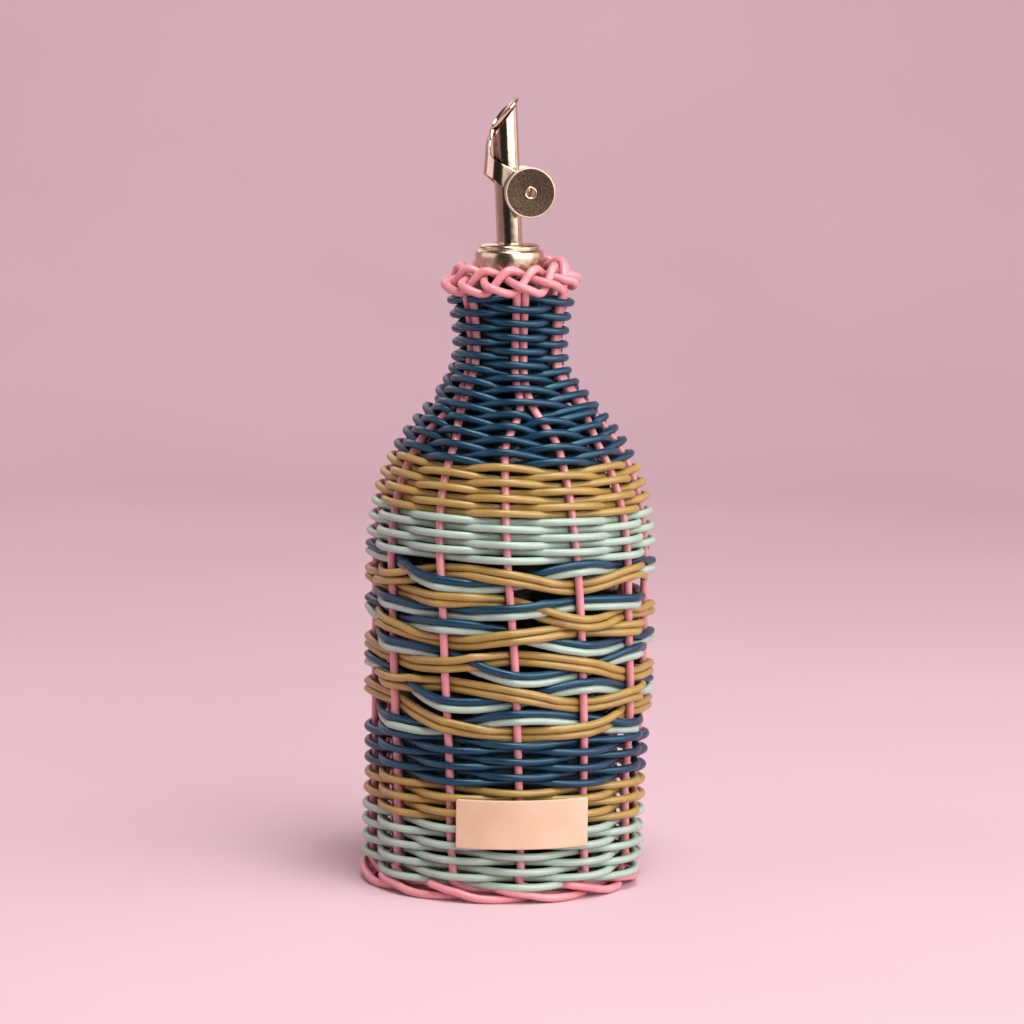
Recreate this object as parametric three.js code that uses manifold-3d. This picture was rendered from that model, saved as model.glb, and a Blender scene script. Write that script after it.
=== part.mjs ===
// Woven oil pourer: a clear glass bottle in a basket of round cane, closed by a steel pourer with a weighted flap.
// Millimetres, +Z up. The origin is the middle of the foot, on the table. The tag faces -Y, the spout pours to -X.
import * as THREE from "three";
import Module from "manifold-3d";

const wasm = await Module();
wasm.setup();

// Clearances
const fitGap = 0.3;
const caneGap = 0.2;

// Glass bottle
const glassBodyRadius = 36.4;
const glassNeckRadius = 10.6;
const glassWall = 2.4;
const glassFloor = 4.0;
const glassShoulderHeight = 101.5;
const glassNeckLength = 20.2;
const glassShoulderPull = 47;
const glassNeckPull = 33;
const glassLipRadius = 11.8;
const glassLipHeight = 4.5;
const bottleHeight = 193.2;

// Cane
const weaverWidth = 2.4;
const weaverHeight = 2.15;
const stakeDiameter = 2.5;
const stakeCount = 12;
const stakeTurn = -4;
const stakeTwist = 12;
const rowPitch = 2.42;

// How the cover stands off the glass: a spread foot, a belly from the body to the shoulder,
// and a flare under the mouth border
const footSpread = 1;
const spreadEnd = 20;
const spreadGone = 36;
const coverBelly = 1.9;
const bellyFoot = 10;
const bellyFull = 70;
const bellyEnd = 149;
const bellyGone = 165;
const coverFlare = 2.5;
const flareLength = 18;

// The top of the cover, measured down from the lip of the bottle
const coverDrop = 7.2;
const stakeDrop = 5.8;
const flareDrop = 5.2;
const plaitDrop = 1.4;

// Heights along the cover where the stakes draw together into pairs
const pairStart = 141;
const pairEnd = 157;
const pairWeaveHeight = 150.5;

// Rows of each colour, counted up from the foot
const mintFootRows = 8;
const ochreFootRows = 5;
const navyFootRows = 6;
const waveLevels = 6;
const mintRows = 6;
const ochreRows = 7;
const wavePitch = 2.27;
const waveRise = 1;

// Foot and mouth borders
const footBorderHeight = 4.6;
const footBorderReach = 8;
const footBorderWidth = 6.4;
const matThickness = 2.4;
const matLift = 0.8;
const plaitRadius = 17.7;
const plaitReach = 4;
const plaitDepth = 1.7;
const plaitCane = 2.6;
const plaitWaves = 13;
const plaitTilt = 48;
const plaitRise = 2.4;
const plaitRiseTurn = 130;

// Leather tag
const tagWidth = 42;
const tagHeight = 15.4;
const tagThickness = 1.2;
const tagMiddleHeight = 25.7;
const tagTurn = 8;

// Stopper and collar
const stopperRibRadius = 7.9;
const stopperCoreRadius = 7.1;
const stopperLength = 21;
const stopperRibs = 4;
const collarRadius = 10.9;
const collarStepRadius = 9.5;
const collarSkirt = 8;
const collarStep = 2;
const collarWall = 1;

// Spout and flap
const pourTurn = 10;
const spoutLean = 3;
const spoutRadius = 4.1;
const spoutBore = 3.6;
const spoutHeight = 44.1;
const mouthSlant = 40.5;
const sheet = 0.6;
const lidOverhang = 0.4;
const flapLean = 9;
const shroudRadius = 4.7;
const pivotHeight = 18.5;
const pivotRadius = 0.8;
const weightRadius = 8;
const weightThickness = 2.4;
const weightSetback = 5.9;
const weightHeight = 15.8;
const rivetBore = 1.25;
const rivetRadius = 1.5;
const rivetFlange = 2.1;
const rivetHead = 0.4;

const rad = THREE.MathUtils.degToRad;
const model = new THREE.Group();
model.name = "woven_oil_pourer";

const finishes = {
  glass: { color: 0xcfe3df, roughness: 0.06, metalness: 0 },
  pink: { color: 0xe8848f, roughness: 0.5, metalness: 0 },
  navy: { color: 0x1c3a5c, roughness: 0.5, metalness: 0 },
  ochre: { color: 0xb5893f, roughness: 0.5, metalness: 0 },
  mint: { color: 0xb4cfbf, roughness: 0.5, metalness: 0 },
  steel: { color: 0xc9c4bd, roughness: 0.22, metalness: 1 },
  weight: { color: 0x8d857d, roughness: 0.45, metalness: 1 },
  elastomer: { color: 0x2b2b2b, roughness: 0.8, metalness: 0 },
  leather: { color: 0xe8c3a6, roughness: 0.7, metalness: 0 },
};

function place(name, finish, geometry) {
  const mesh = new THREE.Mesh(geometry, new THREE.MeshStandardMaterial(finishes[finish]));
  mesh.name = name;
  model.add(mesh);
}

// Booleans
function toSolid(geometry) {
  const position = geometry.getAttribute("position");
  const index = geometry.index ? Array.from(geometry.index.array) : [...Array(position.count).keys()];
  const corners = [];
  const seen = new Map();
  const remap = [];
  for (let i = 0; i < position.count; i++) {
    const corner = [position.getX(i), position.getY(i), position.getZ(i)];
    const key = corner.map((value) => Math.round(value * 1e4)).join(",");
    if (!seen.has(key)) {
      seen.set(key, corners.length / 3);
      corners.push(...corner);
    }
    remap.push(seen.get(key));
  }
  const triangles = [];
  for (let i = 0; i < index.length; i += 3) {
    const [a, b, c] = [remap[index[i]], remap[index[i + 1]], remap[index[i + 2]]];
    if (a !== b && b !== c && a !== c) triangles.push(a, b, c);
  }
  const mesh = new wasm.Mesh({
    numProp: 3,
    vertProperties: new Float32Array(corners),
    triVerts: new Uint32Array(triangles),
  });
  return new wasm.Manifold(mesh);
}

function toGeometry(solid) {
  const mesh = solid.getMesh();
  const geometry = new THREE.BufferGeometry();
  geometry.setAttribute("position", new THREE.BufferAttribute(new Float32Array(mesh.vertProperties), 3));
  geometry.setIndex([...mesh.triVerts]);
  geometry.computeVertexNormals();
  return geometry;
}

// Basic shapes
function turned(profile, segments) {
  const points = profile.map(([r, z]) => new THREE.Vector2(r, z));
  points.push(points[0].clone());
  return new THREE.LatheGeometry(points, segments).rotateX(Math.PI / 2);
}

function rod(radius, low, high, segments) {
  return new THREE.CylinderGeometry(radius, radius, high - low, segments)
    .rotateX(Math.PI / 2)
    .translate(0, 0, (low + high) / 2);
}

function slab(shape, depth) {
  return new THREE.ExtrudeGeometry(shape, { depth, bevelEnabled: false, curveSegments: 10 });
}

// A cane swept through stations, each a middle point and the two half axes of its section
function cane(stations, sides, closed) {
  const corners = [];
  for (const { middle, across, along } of stations) {
    for (let i = 0; i < sides; i++) {
      const turn = (2 * Math.PI * i) / sides;
      const corner = middle.clone().addScaledVector(across, Math.cos(turn)).addScaledVector(along, Math.sin(turn));
      corners.push(corner.x, corner.y, corner.z);
    }
  }
  const count = stations.length;
  const triangles = [];
  const steps = closed ? count : count - 1;
  for (let step = 0; step < steps; step++) {
    const near = step * sides;
    const far = ((step + 1) % count) * sides;
    for (let i = 0; i < sides; i++) {
      const next = (i + 1) % sides;
      triangles.push(near + i, near + next, far + next, near + i, far + next, far + i);
    }
  }
  if (!closed) {
    const last = (count - 1) * sides;
    for (let i = 1; i < sides - 1; i++) {
      triangles.push(0, i + 1, i, last, last + i, last + i + 1);
    }
  }
  const geometry = new THREE.BufferGeometry();
  geometry.setAttribute("position", new THREE.BufferAttribute(new Float32Array(corners), 3));
  geometry.setIndex(triangles);
  geometry.computeVertexNormals();
  return geometry;
}

// Glass outline, from the foot up
const glassNeckHeight = bottleHeight - glassNeckLength;
const bottleFoot = matLift + matThickness + fitGap;
const glassShoulder = new THREE.CubicBezierCurve(
  new THREE.Vector2(glassBodyRadius, glassShoulderHeight),
  new THREE.Vector2(glassBodyRadius, glassShoulderHeight + glassShoulderPull),
  new THREE.Vector2(glassNeckRadius, glassNeckHeight - glassNeckPull),
  new THREE.Vector2(glassNeckRadius, glassNeckHeight),
);
const glassOutline = new THREE.CurvePath();
glassOutline.add(new THREE.LineCurve(new THREE.Vector2(glassBodyRadius, 0), glassShoulder.v0));
glassOutline.add(glassShoulder);
glassOutline.add(new THREE.LineCurve(glassShoulder.v3, new THREE.Vector2(glassNeckRadius, bottleHeight)));

// The stakes stand off the glass by one weaver and the gaps on both sides of it
const stakeReach = fitGap + weaverWidth + caneGap + stakeDiameter / 2;
const stakeLine = stakeCurve();

function standOff(height) {
  const foot = 1 - THREE.MathUtils.smoothstep(height, spreadEnd, spreadGone);
  const swell = THREE.MathUtils.smoothstep(height, bellyFoot, bellyFull);
  const fade = 1 - THREE.MathUtils.smoothstep(height, bellyEnd, bellyGone);
  const flare = THREE.MathUtils.clamp(1 + (height + flareDrop - bottleHeight) / flareLength, 0, 1);
  return footSpread * foot + coverBelly * swell * fade + coverFlare * flare ** 2;
}

function stakeCurve() {
  const points = [];
  const samples = 60;
  for (let i = 0; i <= samples; i++) {
    const point = glassOutline.getPoint(i / samples);
    const tangent = glassOutline.getTangent(i / samples);
    const reach = stakeReach + standOff(point.y);
    points.push(new THREE.Vector2(point.x + tangent.y * reach, point.y - tangent.x * reach));
  }
  return new THREE.SplineCurve(points);
}
stakeLine.arcLengthDivisions = 600;
const lineLength = stakeLine.getLength();

function lineAt(length) {
  const share = THREE.MathUtils.clamp(length / lineLength, 0, 1);
  const point = stakeLine.getPointAt(share);
  const tangent = stakeLine.getTangentAt(share);
  return { radius: point.x, height: point.y, rise: tangent };
}

function lengthAtHeight(height) {
  let low = 0;
  let high = lineLength;
  for (let i = 0; i < 40; i++) {
    const middle = (low + high) / 2;
    if (lineAt(middle).height < height) low = middle;
    else high = middle;
  }
  return low;
}

// Angle of a stake from the middle of its pair, drawn in at the neck
const stakePitch = 360 / stakeCount;
function spread(length) {
  const { radius, height } = lineAt(length);
  const closed = THREE.MathUtils.radToDeg(Math.asin((stakeDiameter / 2 + caneGap) / radius));
  const share = THREE.MathUtils.smoothstep(height, pairStart, pairEnd);
  return THREE.MathUtils.lerp(stakePitch / 2, closed, share);
}

// The stakes lean a little round the body, less and less up to the shoulder
function pairAngle(pair, length) {
  const rise = THREE.MathUtils.clamp(lineAt(length).height / pairStart, 0, 1);
  return stakeTurn + stakePitch / 2 + 2 * stakePitch * pair + stakeTwist * (1 - rise);
}

function stakeAngle(index, length) {
  const pair = Math.floor(index / 2);
  const side = index - 2 * pair === 0 ? -1 : 1;
  return pairAngle(pair, length) + side * spread(length);
}

function station(angle, length, offset, halfWidth, halfHeight, lift) {
  const { radius, height, rise } = lineAt(length);
  const turn = rad(angle);
  const outward = new THREE.Vector3(Math.sin(turn), -Math.cos(turn), 0);
  const normal = outward.clone().multiplyScalar(rise.y).setZ(-rise.x);
  const upward = outward.clone().multiplyScalar(rise.x).setZ(rise.y);
  const middle = outward.clone().multiplyScalar(radius).setZ(height);
  middle.addScaledVector(normal, offset).addScaledVector(upward, lift);
  return {
    middle,
    across: normal.multiplyScalar(halfWidth),
    along: upward.multiplyScalar(halfHeight),
  };
}

// How far outside the stake line a weaver must ride so that its straight runs clear the stake it crosses
const underReach = stakeDiameter / 2 + caneGap + weaverWidth / 2;
function overReach(radius, step) {
  const clear = stakeDiameter / 2 + caneGap;
  let reach = underReach;
  for (let i = 0; i < 4; i++) {
    const drop = radius * (1 - Math.cos(step)) + reach + underReach * Math.cos(step);
    const run = (radius - underReach) * Math.sin(step);
    reach = clear / Math.cos(Math.atan2(drop, run)) + weaverWidth / 2;
  }
  return reach;
}

// A weaver that passes in front of one stake and behind the next, climbing to the left as it goes round
const bandEdge = 0.2 * rowPitch;
function singleWeaver(low, high, first, climb, parity, lift) {
  const stations = [];
  const start = Math.ceil(((low + bandEdge - first) * stakeCount) / climb);
  const end = Math.floor(((high - bandEdge - first) * stakeCount) / climb);
  for (let index = start; index <= end; index++) {
    const over = (index + parity) % 2 === 0;
    if (stations.length === 0 && over) continue;
    const length = first + (climb * index) / stakeCount;
    const { radius } = lineAt(length);
    const step = rad(2 * Math.min(spread(length), stakePitch - spread(length)));
    const offset = over ? overReach(radius, step) : -underReach;
    const shift = over ? lift(length) : -lift(length);
    const angle = stakeAngle(-index, length);
    stations.push(station(angle, length, offset, weaverWidth / 2, weaverHeight / 2, shift));
    stations[stations.length - 1].over = over;
  }
  if (stations[stations.length - 1].over) stations.pop();
  return cane(stations, 4, false);
}

// A weaver of the neck, which passes in front of one pair of stakes and behind the next
function pairWeaver(low, high, first, climb, parity) {
  const stations = [];
  const pairs = stakeCount / 2;
  const start = Math.ceil(((low - first) * pairs) / climb);
  const end = Math.floor(((high - first) * pairs) / climb);
  for (let index = start; index <= end; index++) {
    const over = (index + parity) % 2 === 0;
    if (stations.length === 0 && over) continue;
    const length = first + (climb * index) / pairs;
    const middle = pairAngle(-index, length);
    const { radius } = lineAt(length);
    const flat = spread(length) + THREE.MathUtils.radToDeg(stakeDiameter / 2 / radius);
    const clear = stakeDiameter / 2 + caneGap;
    const corner = (radius * Math.cos(rad(spread(length))) + clear) / Math.cos(rad(flat)) - radius;
    const offset = over ? corner + weaverWidth / 2 : -underReach;
    for (const side of [-1, 1]) {
      const along = first + (climb * (index + (side * flat) / (2 * stakePitch))) / pairs;
      stations.push(station(middle - side * flat, along, offset, weaverWidth / 2, weaverHeight / 2, 0));
    }
    stations[stations.length - 1].over = over;
  }
  if (stations[stations.length - 1].over) stations.splice(-2);
  return cane(stations, 4, false);
}

// Bottle
function bottle() {
  const outer = [];
  const inner = [];
  const steps = 12;
  for (let i = 0; i <= steps; i++) {
    const point = glassShoulder.getPoint(i / steps);
    const tangent = glassShoulder.getTangent(i / steps);
    outer.push([point.x, point.y]);
    inner.push([point.x - tangent.y * glassWall, point.y + tangent.x * glassWall]);
  }
  const lipFoot = bottleHeight - glassLipHeight;
  const profile = [
    [0, bottleFoot],
    [glassBodyRadius - 3, bottleFoot],
    [glassBodyRadius - 0.9, bottleFoot + 0.9],
    [glassBodyRadius, bottleFoot + 3],
    ...outer,
    [glassNeckRadius, lipFoot - 1],
    [glassLipRadius, lipFoot],
    [glassLipRadius, bottleHeight - 0.6],
    [glassLipRadius - 0.6, bottleHeight],
    [glassNeckRadius - glassWall + 0.4, bottleHeight],
    [glassNeckRadius - glassWall, bottleHeight - 0.4],
    ...inner.reverse(),
    [glassBodyRadius - glassWall, bottleFoot + glassFloor + 4],
    [glassBodyRadius - glassWall - 4, bottleFoot + glassFloor],
    [0, bottleFoot + glassFloor],
  ];
  return turned(profile, 32);
}
place("glass_bottle", "glass", bottle());

// Stakes
const stakeFoot = lengthAtHeight(footBorderHeight + fitGap);
const stakeTop = lengthAtHeight(bottleHeight - stakeDrop);
function stake(index) {
  const stations = [];
  const bend = lengthAtHeight(glassShoulderHeight);
  const cuts = [0, 0.25, 0.5, 0.75, 1].map((share) => THREE.MathUtils.lerp(stakeFoot, bend, share));
  const bends = 17;
  for (let i = 1; i <= bends; i++) cuts.push(THREE.MathUtils.lerp(bend, stakeTop, i / bends));
  for (const length of cuts) {
    stations.push(station(stakeAngle(index, length), length, 0, stakeDiameter / 2, 0, 0));
  }
  stations.forEach((here, i) => {
    const before = stations[Math.max(i - 1, 0)].middle;
    const after = stations[Math.min(i + 1, stations.length - 1)].middle;
    const run = after.clone().sub(before).normalize();
    here.along = run.cross(here.across.clone().normalize()).multiplyScalar(stakeDiameter / 2);
  });
  return cane(stations, 5, false);
}
for (let index = 0; index < stakeCount; index++) {
  place(`stake_${String(index + 1).padStart(2, "0")}`, "pink", stake(index));
}

// Bands of single weavers
let bandFoot = stakeFoot + rowPitch / 2;
const level = () => 0;
function band(name, finish, rows) {
  const low = bandFoot;
  const high = low + rows * rowPitch;
  place(`${name}_weaver_a`, finish, singleWeaver(low, high, low, 2 * rowPitch, 0, level));
  place(`${name}_weaver_b`, finish, singleWeaver(low, high, low + rowPitch, 2 * rowPitch, 1, level));
  bandFoot = high;
}

// Wave band: ochre pairs and navy with mint pairs, in turn, each pair rising where it shows.
// The rise dies away towards the edges of the band.
function waveBand() {
  const low = bandFoot + 2 * bandEdge;
  const high = low + 4 * waveLevels * wavePitch;
  const canes = [
    ["wave_ochre_a", "ochre", 0],
    ["wave_ochre_b", "ochre", 0],
    ["wave_mint_a", "mint", 1],
    ["wave_navy_a", "navy", 1],
    ["wave_ochre_c", "ochre", 1],
    ["wave_ochre_d", "ochre", 1],
    ["wave_mint_b", "mint", 0],
    ["wave_navy_b", "navy", 0],
  ];
  const climb = canes.length * wavePitch;
  const edge = 3 * wavePitch;
  canes.forEach(([name, finish, parity], row) => {
    const partner = ((row + 2) % 4) * wavePitch;
    const lift = (length) => {
      const here = length - partner;
      return waveRise * THREE.MathUtils.clamp(Math.min(here - low, high - here) / edge, 0, 1);
    };
    place(name, finish, singleWeaver(low, high, low + row * wavePitch, climb, parity, lift));
  });
  bandFoot = high + 2 * bandEdge;
}

band("mint_foot", "mint", mintFootRows);
band("ochre_foot", "ochre", ochreFootRows);
band("navy_foot", "navy", navyFootRows);
waveBand();
band("mint", "mint", mintRows);
band("ochre", "ochre", ochreRows);

const pairFoot = lengthAtHeight(pairWeaveHeight);
band("navy_shoulder", "navy", Math.floor((pairFoot - bandFoot) / rowPitch));
const neckTop = lengthAtHeight(bottleHeight - coverDrop) - rowPitch / 2;
const neckFoot = bandFoot + bandEdge;
place("navy_neck_weaver_a", "navy", pairWeaver(neckFoot, neckTop, neckFoot, 2 * rowPitch, 0));
place("navy_neck_weaver_b", "navy", pairWeaver(neckFoot, neckTop, neckFoot + rowPitch, 2 * rowPitch, 1));

// Foot border and mat
const footBorderOuter = glassBodyRadius + footBorderReach;
const footInner = footBorderOuter - footBorderWidth;
const footBorder = [
  [footInner, 0],
  [footBorderOuter - 1, 0],
  [footBorderOuter, 1.2],
  [footBorderOuter, footBorderHeight - 1.4],
  [footBorderOuter - 1.4, footBorderHeight],
  [footInner + 1.4, footBorderHeight],
  [footInner, footBorderHeight - 1.4],
];
place("foot_border", "pink", turned(footBorder, 36));
const matRadius = footInner - fitGap;
place("foot_mat", "pink", turned([
  [0, matLift],
  [matRadius, matLift],
  [matRadius, matLift + matThickness],
  [0, matLift + matThickness],
], 36));

// Mouth border: three canes plaited, one unbroken loop that goes round three times and rises on one side
function plait() {
  const turns = 3;
  const steps = plaitWaves * 8;
  const tilt = rad(plaitTilt);
  const middles = [];
  const faces = [];
  for (let i = 0; i < steps; i++) {
    const turn = (2 * Math.PI * turns * i) / steps;
    const wave = (2 * Math.PI * plaitWaves * i) / steps;
    const outward = new THREE.Vector3(Math.sin(turn), -Math.cos(turn), 0);
    const side = outward.clone().multiplyScalar(Math.cos(tilt)).setZ(-Math.sin(tilt));
    const face = outward.clone().multiplyScalar(Math.sin(tilt)).setZ(Math.cos(tilt));
    const rise = plaitRise * (0.5 + 0.5 * Math.cos(turn - rad(plaitRiseTurn)));
    const middle = outward.clone().multiplyScalar(plaitRadius).setZ(bottleHeight - plaitDrop + rise);
    middle.addScaledVector(side, plaitReach * Math.sin(wave));
    middle.addScaledVector(face, plaitDepth * Math.sin(2 * wave));
    middles.push(middle);
    faces.push(face);
  }
  const stations = middles.map((middle, i) => {
    const run = middles[(i + 1) % steps].clone().sub(middles[(i + steps - 1) % steps]).normalize();
    const across = faces[i].clone().addScaledVector(run, -faces[i].dot(run)).normalize();
    const along = run.clone().cross(across);
    return {
      middle,
      across: across.multiplyScalar(plaitCane / 2),
      along: along.multiplyScalar(plaitCane / 2),
    };
  });
  return cane(stations, 4, true);
}
place("mouth_plait", "pink", plait());

// Leather tag, bent round the foot's weavers
function tag() {
  const { radius } = lineAt(lengthAtHeight(tagMiddleHeight));
  const inner = radius + overReach(radius, rad(stakePitch)) + weaverWidth / 2 + fitGap;
  const half = tagWidth / inner / 2;
  const low = tagMiddleHeight - tagHeight / 2;
  const shape = new THREE.Shape();
  const start = -Math.PI / 2 + rad(tagTurn) - half;
  shape.absarc(0, 0, inner + tagThickness, start, start + 2 * half, false);
  shape.absarc(0, 0, inner, start + 2 * half, start, true);
  return slab(shape, tagHeight).translate(0, 0, low);
}
place("leather_tag", "leather", tag());

// Pourer: everything that leans with the spout is made upright first, with the collar's top at height 0
const collarFoot = bottleHeight + fitGap;
const collarTop = collarFoot + collarSkirt + collarStep;
const lean = new THREE.Matrix4()
  .makeTranslation(0, 0, collarTop)
  .multiply(new THREE.Matrix4().makeRotationZ(rad(pourTurn)))
  .multiply(new THREE.Matrix4().makeRotationY(-rad(spoutLean)));
const spoutFoot = -(collarStep + collarSkirt + stopperLength + fitGap);

function spout() {
  const long = spoutHeight + 10;
  const wall = turned([
    [spoutBore, spoutFoot],
    [spoutRadius, spoutFoot],
    [spoutRadius, long],
    [spoutBore, long],
  ], 24);
  return toSolid(wall).subtract(toSolid(mouthBlock(0)));
}

// Everything beyond the slanted mouth, or beyond a plane set off from it
function mouthBlock(offset) {
  const size = 60;
  return new THREE.BoxGeometry(size, size, size)
    .translate(0, 0, size / 2 + offset)
    .rotateY(-rad(90 - mouthSlant))
    .translate(spoutRadius, 0, spoutHeight);
}

place("spout_tube", "steel", toGeometry(spout()).applyMatrix4(lean));

// Collar cap, hollow below, with a hole for the spout
function collar() {
  const top = collarTop;
  const step = collarFoot + collarSkirt;
  const shell = turned([
    [collarRadius - collarWall, collarFoot],
    [collarRadius, collarFoot],
    [collarRadius, step - 1.8],
    [collarRadius - 0.4, step - 0.7],
    [collarStepRadius + 0.2, step],
    [collarStepRadius - 0.1, step + 0.3],
    [collarStepRadius - 0.3, top - 0.8],
    [collarStepRadius - 1.6, top],
    [0, top],
    [0, top - collarWall],
    [collarStepRadius - collarWall - 0.6, top - collarWall],
    [collarStepRadius - collarWall, step - collarWall],
    [collarRadius - collarWall - 0.4, step - collarWall],
    [collarRadius - collarWall, step - collarWall - 1.2],
  ], 32);
  const spoutHole = rod(spoutRadius + fitGap, -9, 9, 24).applyMatrix4(lean);
  return toSolid(shell).subtract(toSolid(spoutHole));
}
place("collar_cap", "steel", toGeometry(collar()));

// Stopper: a head under the collar and a ribbed plug in the neck
function stopper() {
  const headRadius = collarRadius - collarWall - fitGap;
  const headTop = collarFoot + collarSkirt - collarWall - 1.2 - fitGap;
  const foot = collarFoot - stopperLength;
  const pitch = stopperLength / (stopperRibs + 0.5);
  const profile = [[0, foot], [stopperCoreRadius - 1, foot]];
  for (let rib = 0; rib < stopperRibs; rib++) {
    const low = foot + pitch * (rib + 0.3);
    profile.push([stopperCoreRadius, low], [stopperRibRadius, low + 0.45 * pitch]);
    profile.push([stopperRibRadius, low + 0.6 * pitch]);
  }
  profile.push([stopperCoreRadius, collarFoot - 0.6], [stopperCoreRadius, collarFoot]);
  profile.push([headRadius, collarFoot], [headRadius, headTop], [0, headTop]);
  const plug = turned(profile, 24);
  const spoutHole = rod(spoutRadius + fitGap, spoutFoot - 5, 0, 24).applyMatrix4(lean);
  return toSolid(plug).subtract(toSolid(spoutHole));
}
place("stopper", "elastomer", toGeometry(stopper()));

// Flap: a channel of bent sheet round the spout, cut to the flap's side view, with the lid joined on
const earInner = shroudRadius;
const earOuter = earInner + sheet;
function flap() {
  const channel = new THREE.Shape();
  channel.absarc(0, 0, earOuter, Math.PI / 2, (3 * Math.PI) / 2, false);
  channel.lineTo(30, -earOuter);
  channel.lineTo(30, -earInner);
  channel.lineTo(0, -earInner);
  channel.absarc(0, 0, earInner, (3 * Math.PI) / 2, Math.PI / 2, true);
  channel.lineTo(30, earInner);
  channel.lineTo(30, earOuter);
  const neckX = spoutRadius + fitGap - shroudRadius;
  const mouthLow = spoutHeight - (2 * spoutRadius) / Math.tan(rad(mouthSlant));
  const bent = slab(channel, 80)
    .translate(0, 0, -40)
    .rotateY(rad(flapLean))
    .translate(-neckX, 0, mouthLow);
  const earRadius = weightRadius - 0.4;
  const side = new THREE.Shape();
  side.moveTo(-12, mouthLow + 0.6);
  side.lineTo(-4.15, mouthLow + 0.6);
  side.bezierCurveTo(-5.2, mouthLow - 6, -5.6, pivotHeight + 6.7, -2.4, pivotHeight + 5.9);
  side.quadraticCurveTo(-0.6, pivotHeight + 4.8, 2.1, pivotHeight + 3.9);
  side.absarc(weightSetback, weightHeight, earRadius, 2.09, -2.5, true);
  side.quadraticCurveTo(-0.7, pivotHeight - 3.9, -2, pivotHeight - 1.3);
  side.lineTo(-4.75, pivotHeight + 1.7);
  side.lineTo(-7.2, pivotHeight + 3.5);
  side.lineTo(-12, pivotHeight + 6.1);
  const profile = slab(side, 40).rotateX(Math.PI / 2).translate(0, 20, 0);
  const lidGap = fitGap;
  const lidRound = rod(spoutRadius + lidOverhang, 20, spoutHeight + 12, 24);
  const lid = toSolid(lidRound)
    .intersect(toSolid(mouthBlock(lidGap)))
    .subtract(toSolid(mouthBlock(lidGap + sheet)));
  const pinHole = rod(pivotRadius + fitGap, -20, 20, 16).rotateX(Math.PI / 2).translate(0, 0, pivotHeight);
  const rivetHole = rod(rivetRadius + fitGap, -20, 20, 16)
    .rotateX(Math.PI / 2)
    .translate(weightSetback, 0, weightHeight);
  return toSolid(bent)
    .intersect(toSolid(profile))
    .add(lid)
    .subtract(toSolid(pinHole))
    .subtract(toSolid(rivetHole));
}
place("flap", "steel", toGeometry(flap()).applyMatrix4(lean));

// Pivot studs, weights and hollow rivets, one of each on both sides
const studFoot = Math.sqrt(spoutRadius ** 2 - pivotRadius ** 2) + fitGap;
const weightFoot = earOuter + fitGap;
const weightTop = weightFoot + weightThickness;
function sideways(geometry, x, z, side) {
  return geometry
    .rotateX(side * Math.PI / 2)
    .translate(x, 0, z)
    .applyMatrix4(lean);
}
for (const [label, side] of [["front", 1], ["back", -1]]) {
  const stud = rod(pivotRadius, studFoot, earOuter, 12);
  place(`pivot_stud_${label}`, "steel", sideways(stud, 0, pivotHeight, side));
  const weight = turned([
    [rivetRadius + fitGap, weightFoot],
    [weightRadius - 0.4, weightFoot],
    [weightRadius, weightFoot + 0.4],
    [weightRadius, weightTop - 0.4],
    [weightRadius - 0.4, weightTop],
    [rivetRadius + fitGap, weightTop],
  ], 28);
  place(`weight_${label}`, "weight", sideways(weight, weightSetback, weightHeight, side));
  const rivet = turned([
    [rivetBore, earInner - fitGap - rivetHead],
    [rivetFlange, earInner - fitGap - rivetHead],
    [rivetFlange, earInner - fitGap],
    [rivetRadius, earInner - fitGap],
    [rivetRadius, weightTop + fitGap],
    [rivetFlange, weightTop + fitGap],
    [rivetFlange - 0.3, weightTop + fitGap + rivetHead],
    [rivetBore, weightTop + fitGap + rivetHead],
  ], 16);
  place(`rivet_${label}`, "steel", sideways(rivet, weightSetback, weightHeight, side));
}

export default model;
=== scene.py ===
# Woven oil pourer: a clear glass bottle in a cover of round cane, closed by a steel pourer with a weighted flap.
# Sizes are millimetres and are turned into metres where a mesh is made; the lamps are placed in metres.
import math

import bmesh
import bpy
import numpy as np
from mathutils import Matrix, Vector


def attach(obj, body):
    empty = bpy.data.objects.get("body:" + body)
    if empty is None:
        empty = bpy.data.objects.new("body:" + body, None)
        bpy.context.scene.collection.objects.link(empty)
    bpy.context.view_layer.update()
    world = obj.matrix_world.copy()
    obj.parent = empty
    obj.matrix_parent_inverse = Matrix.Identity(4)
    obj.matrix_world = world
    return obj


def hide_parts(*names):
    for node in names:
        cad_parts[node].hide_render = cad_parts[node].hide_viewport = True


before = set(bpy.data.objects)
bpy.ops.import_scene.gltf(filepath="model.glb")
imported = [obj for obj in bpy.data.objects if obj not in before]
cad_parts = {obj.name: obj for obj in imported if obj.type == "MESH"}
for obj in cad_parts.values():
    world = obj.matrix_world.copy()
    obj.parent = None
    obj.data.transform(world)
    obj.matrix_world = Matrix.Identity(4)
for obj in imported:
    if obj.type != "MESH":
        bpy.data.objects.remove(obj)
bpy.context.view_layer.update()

MM = 0.001
RNG = np.random.default_rng(7)

# Glass bottle
GLASS_BODY_RADIUS = 36.4
GLASS_NECK_RADIUS = 10.6
GLASS_WALL = 2.4
GLASS_FLOOR = 4.0
GLASS_SHOULDER_HEIGHT = 101.5
GLASS_NECK_HEIGHT = 173.0
GLASS_SHOULDER_PULL = 47.0
GLASS_NECK_PULL = 33.0
GLASS_LIP_RADIUS = 11.8
GLASS_LIP_HEIGHT = 4.5
GLASS_LIP_RUN = 2.0
GLASS_LIP_CORNER = 0.9
GLASS_FOOT_CORNER = 3.0
BOTTLE_FOOT = 3.5
BOTTLE_HEIGHT = 193.2

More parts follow.
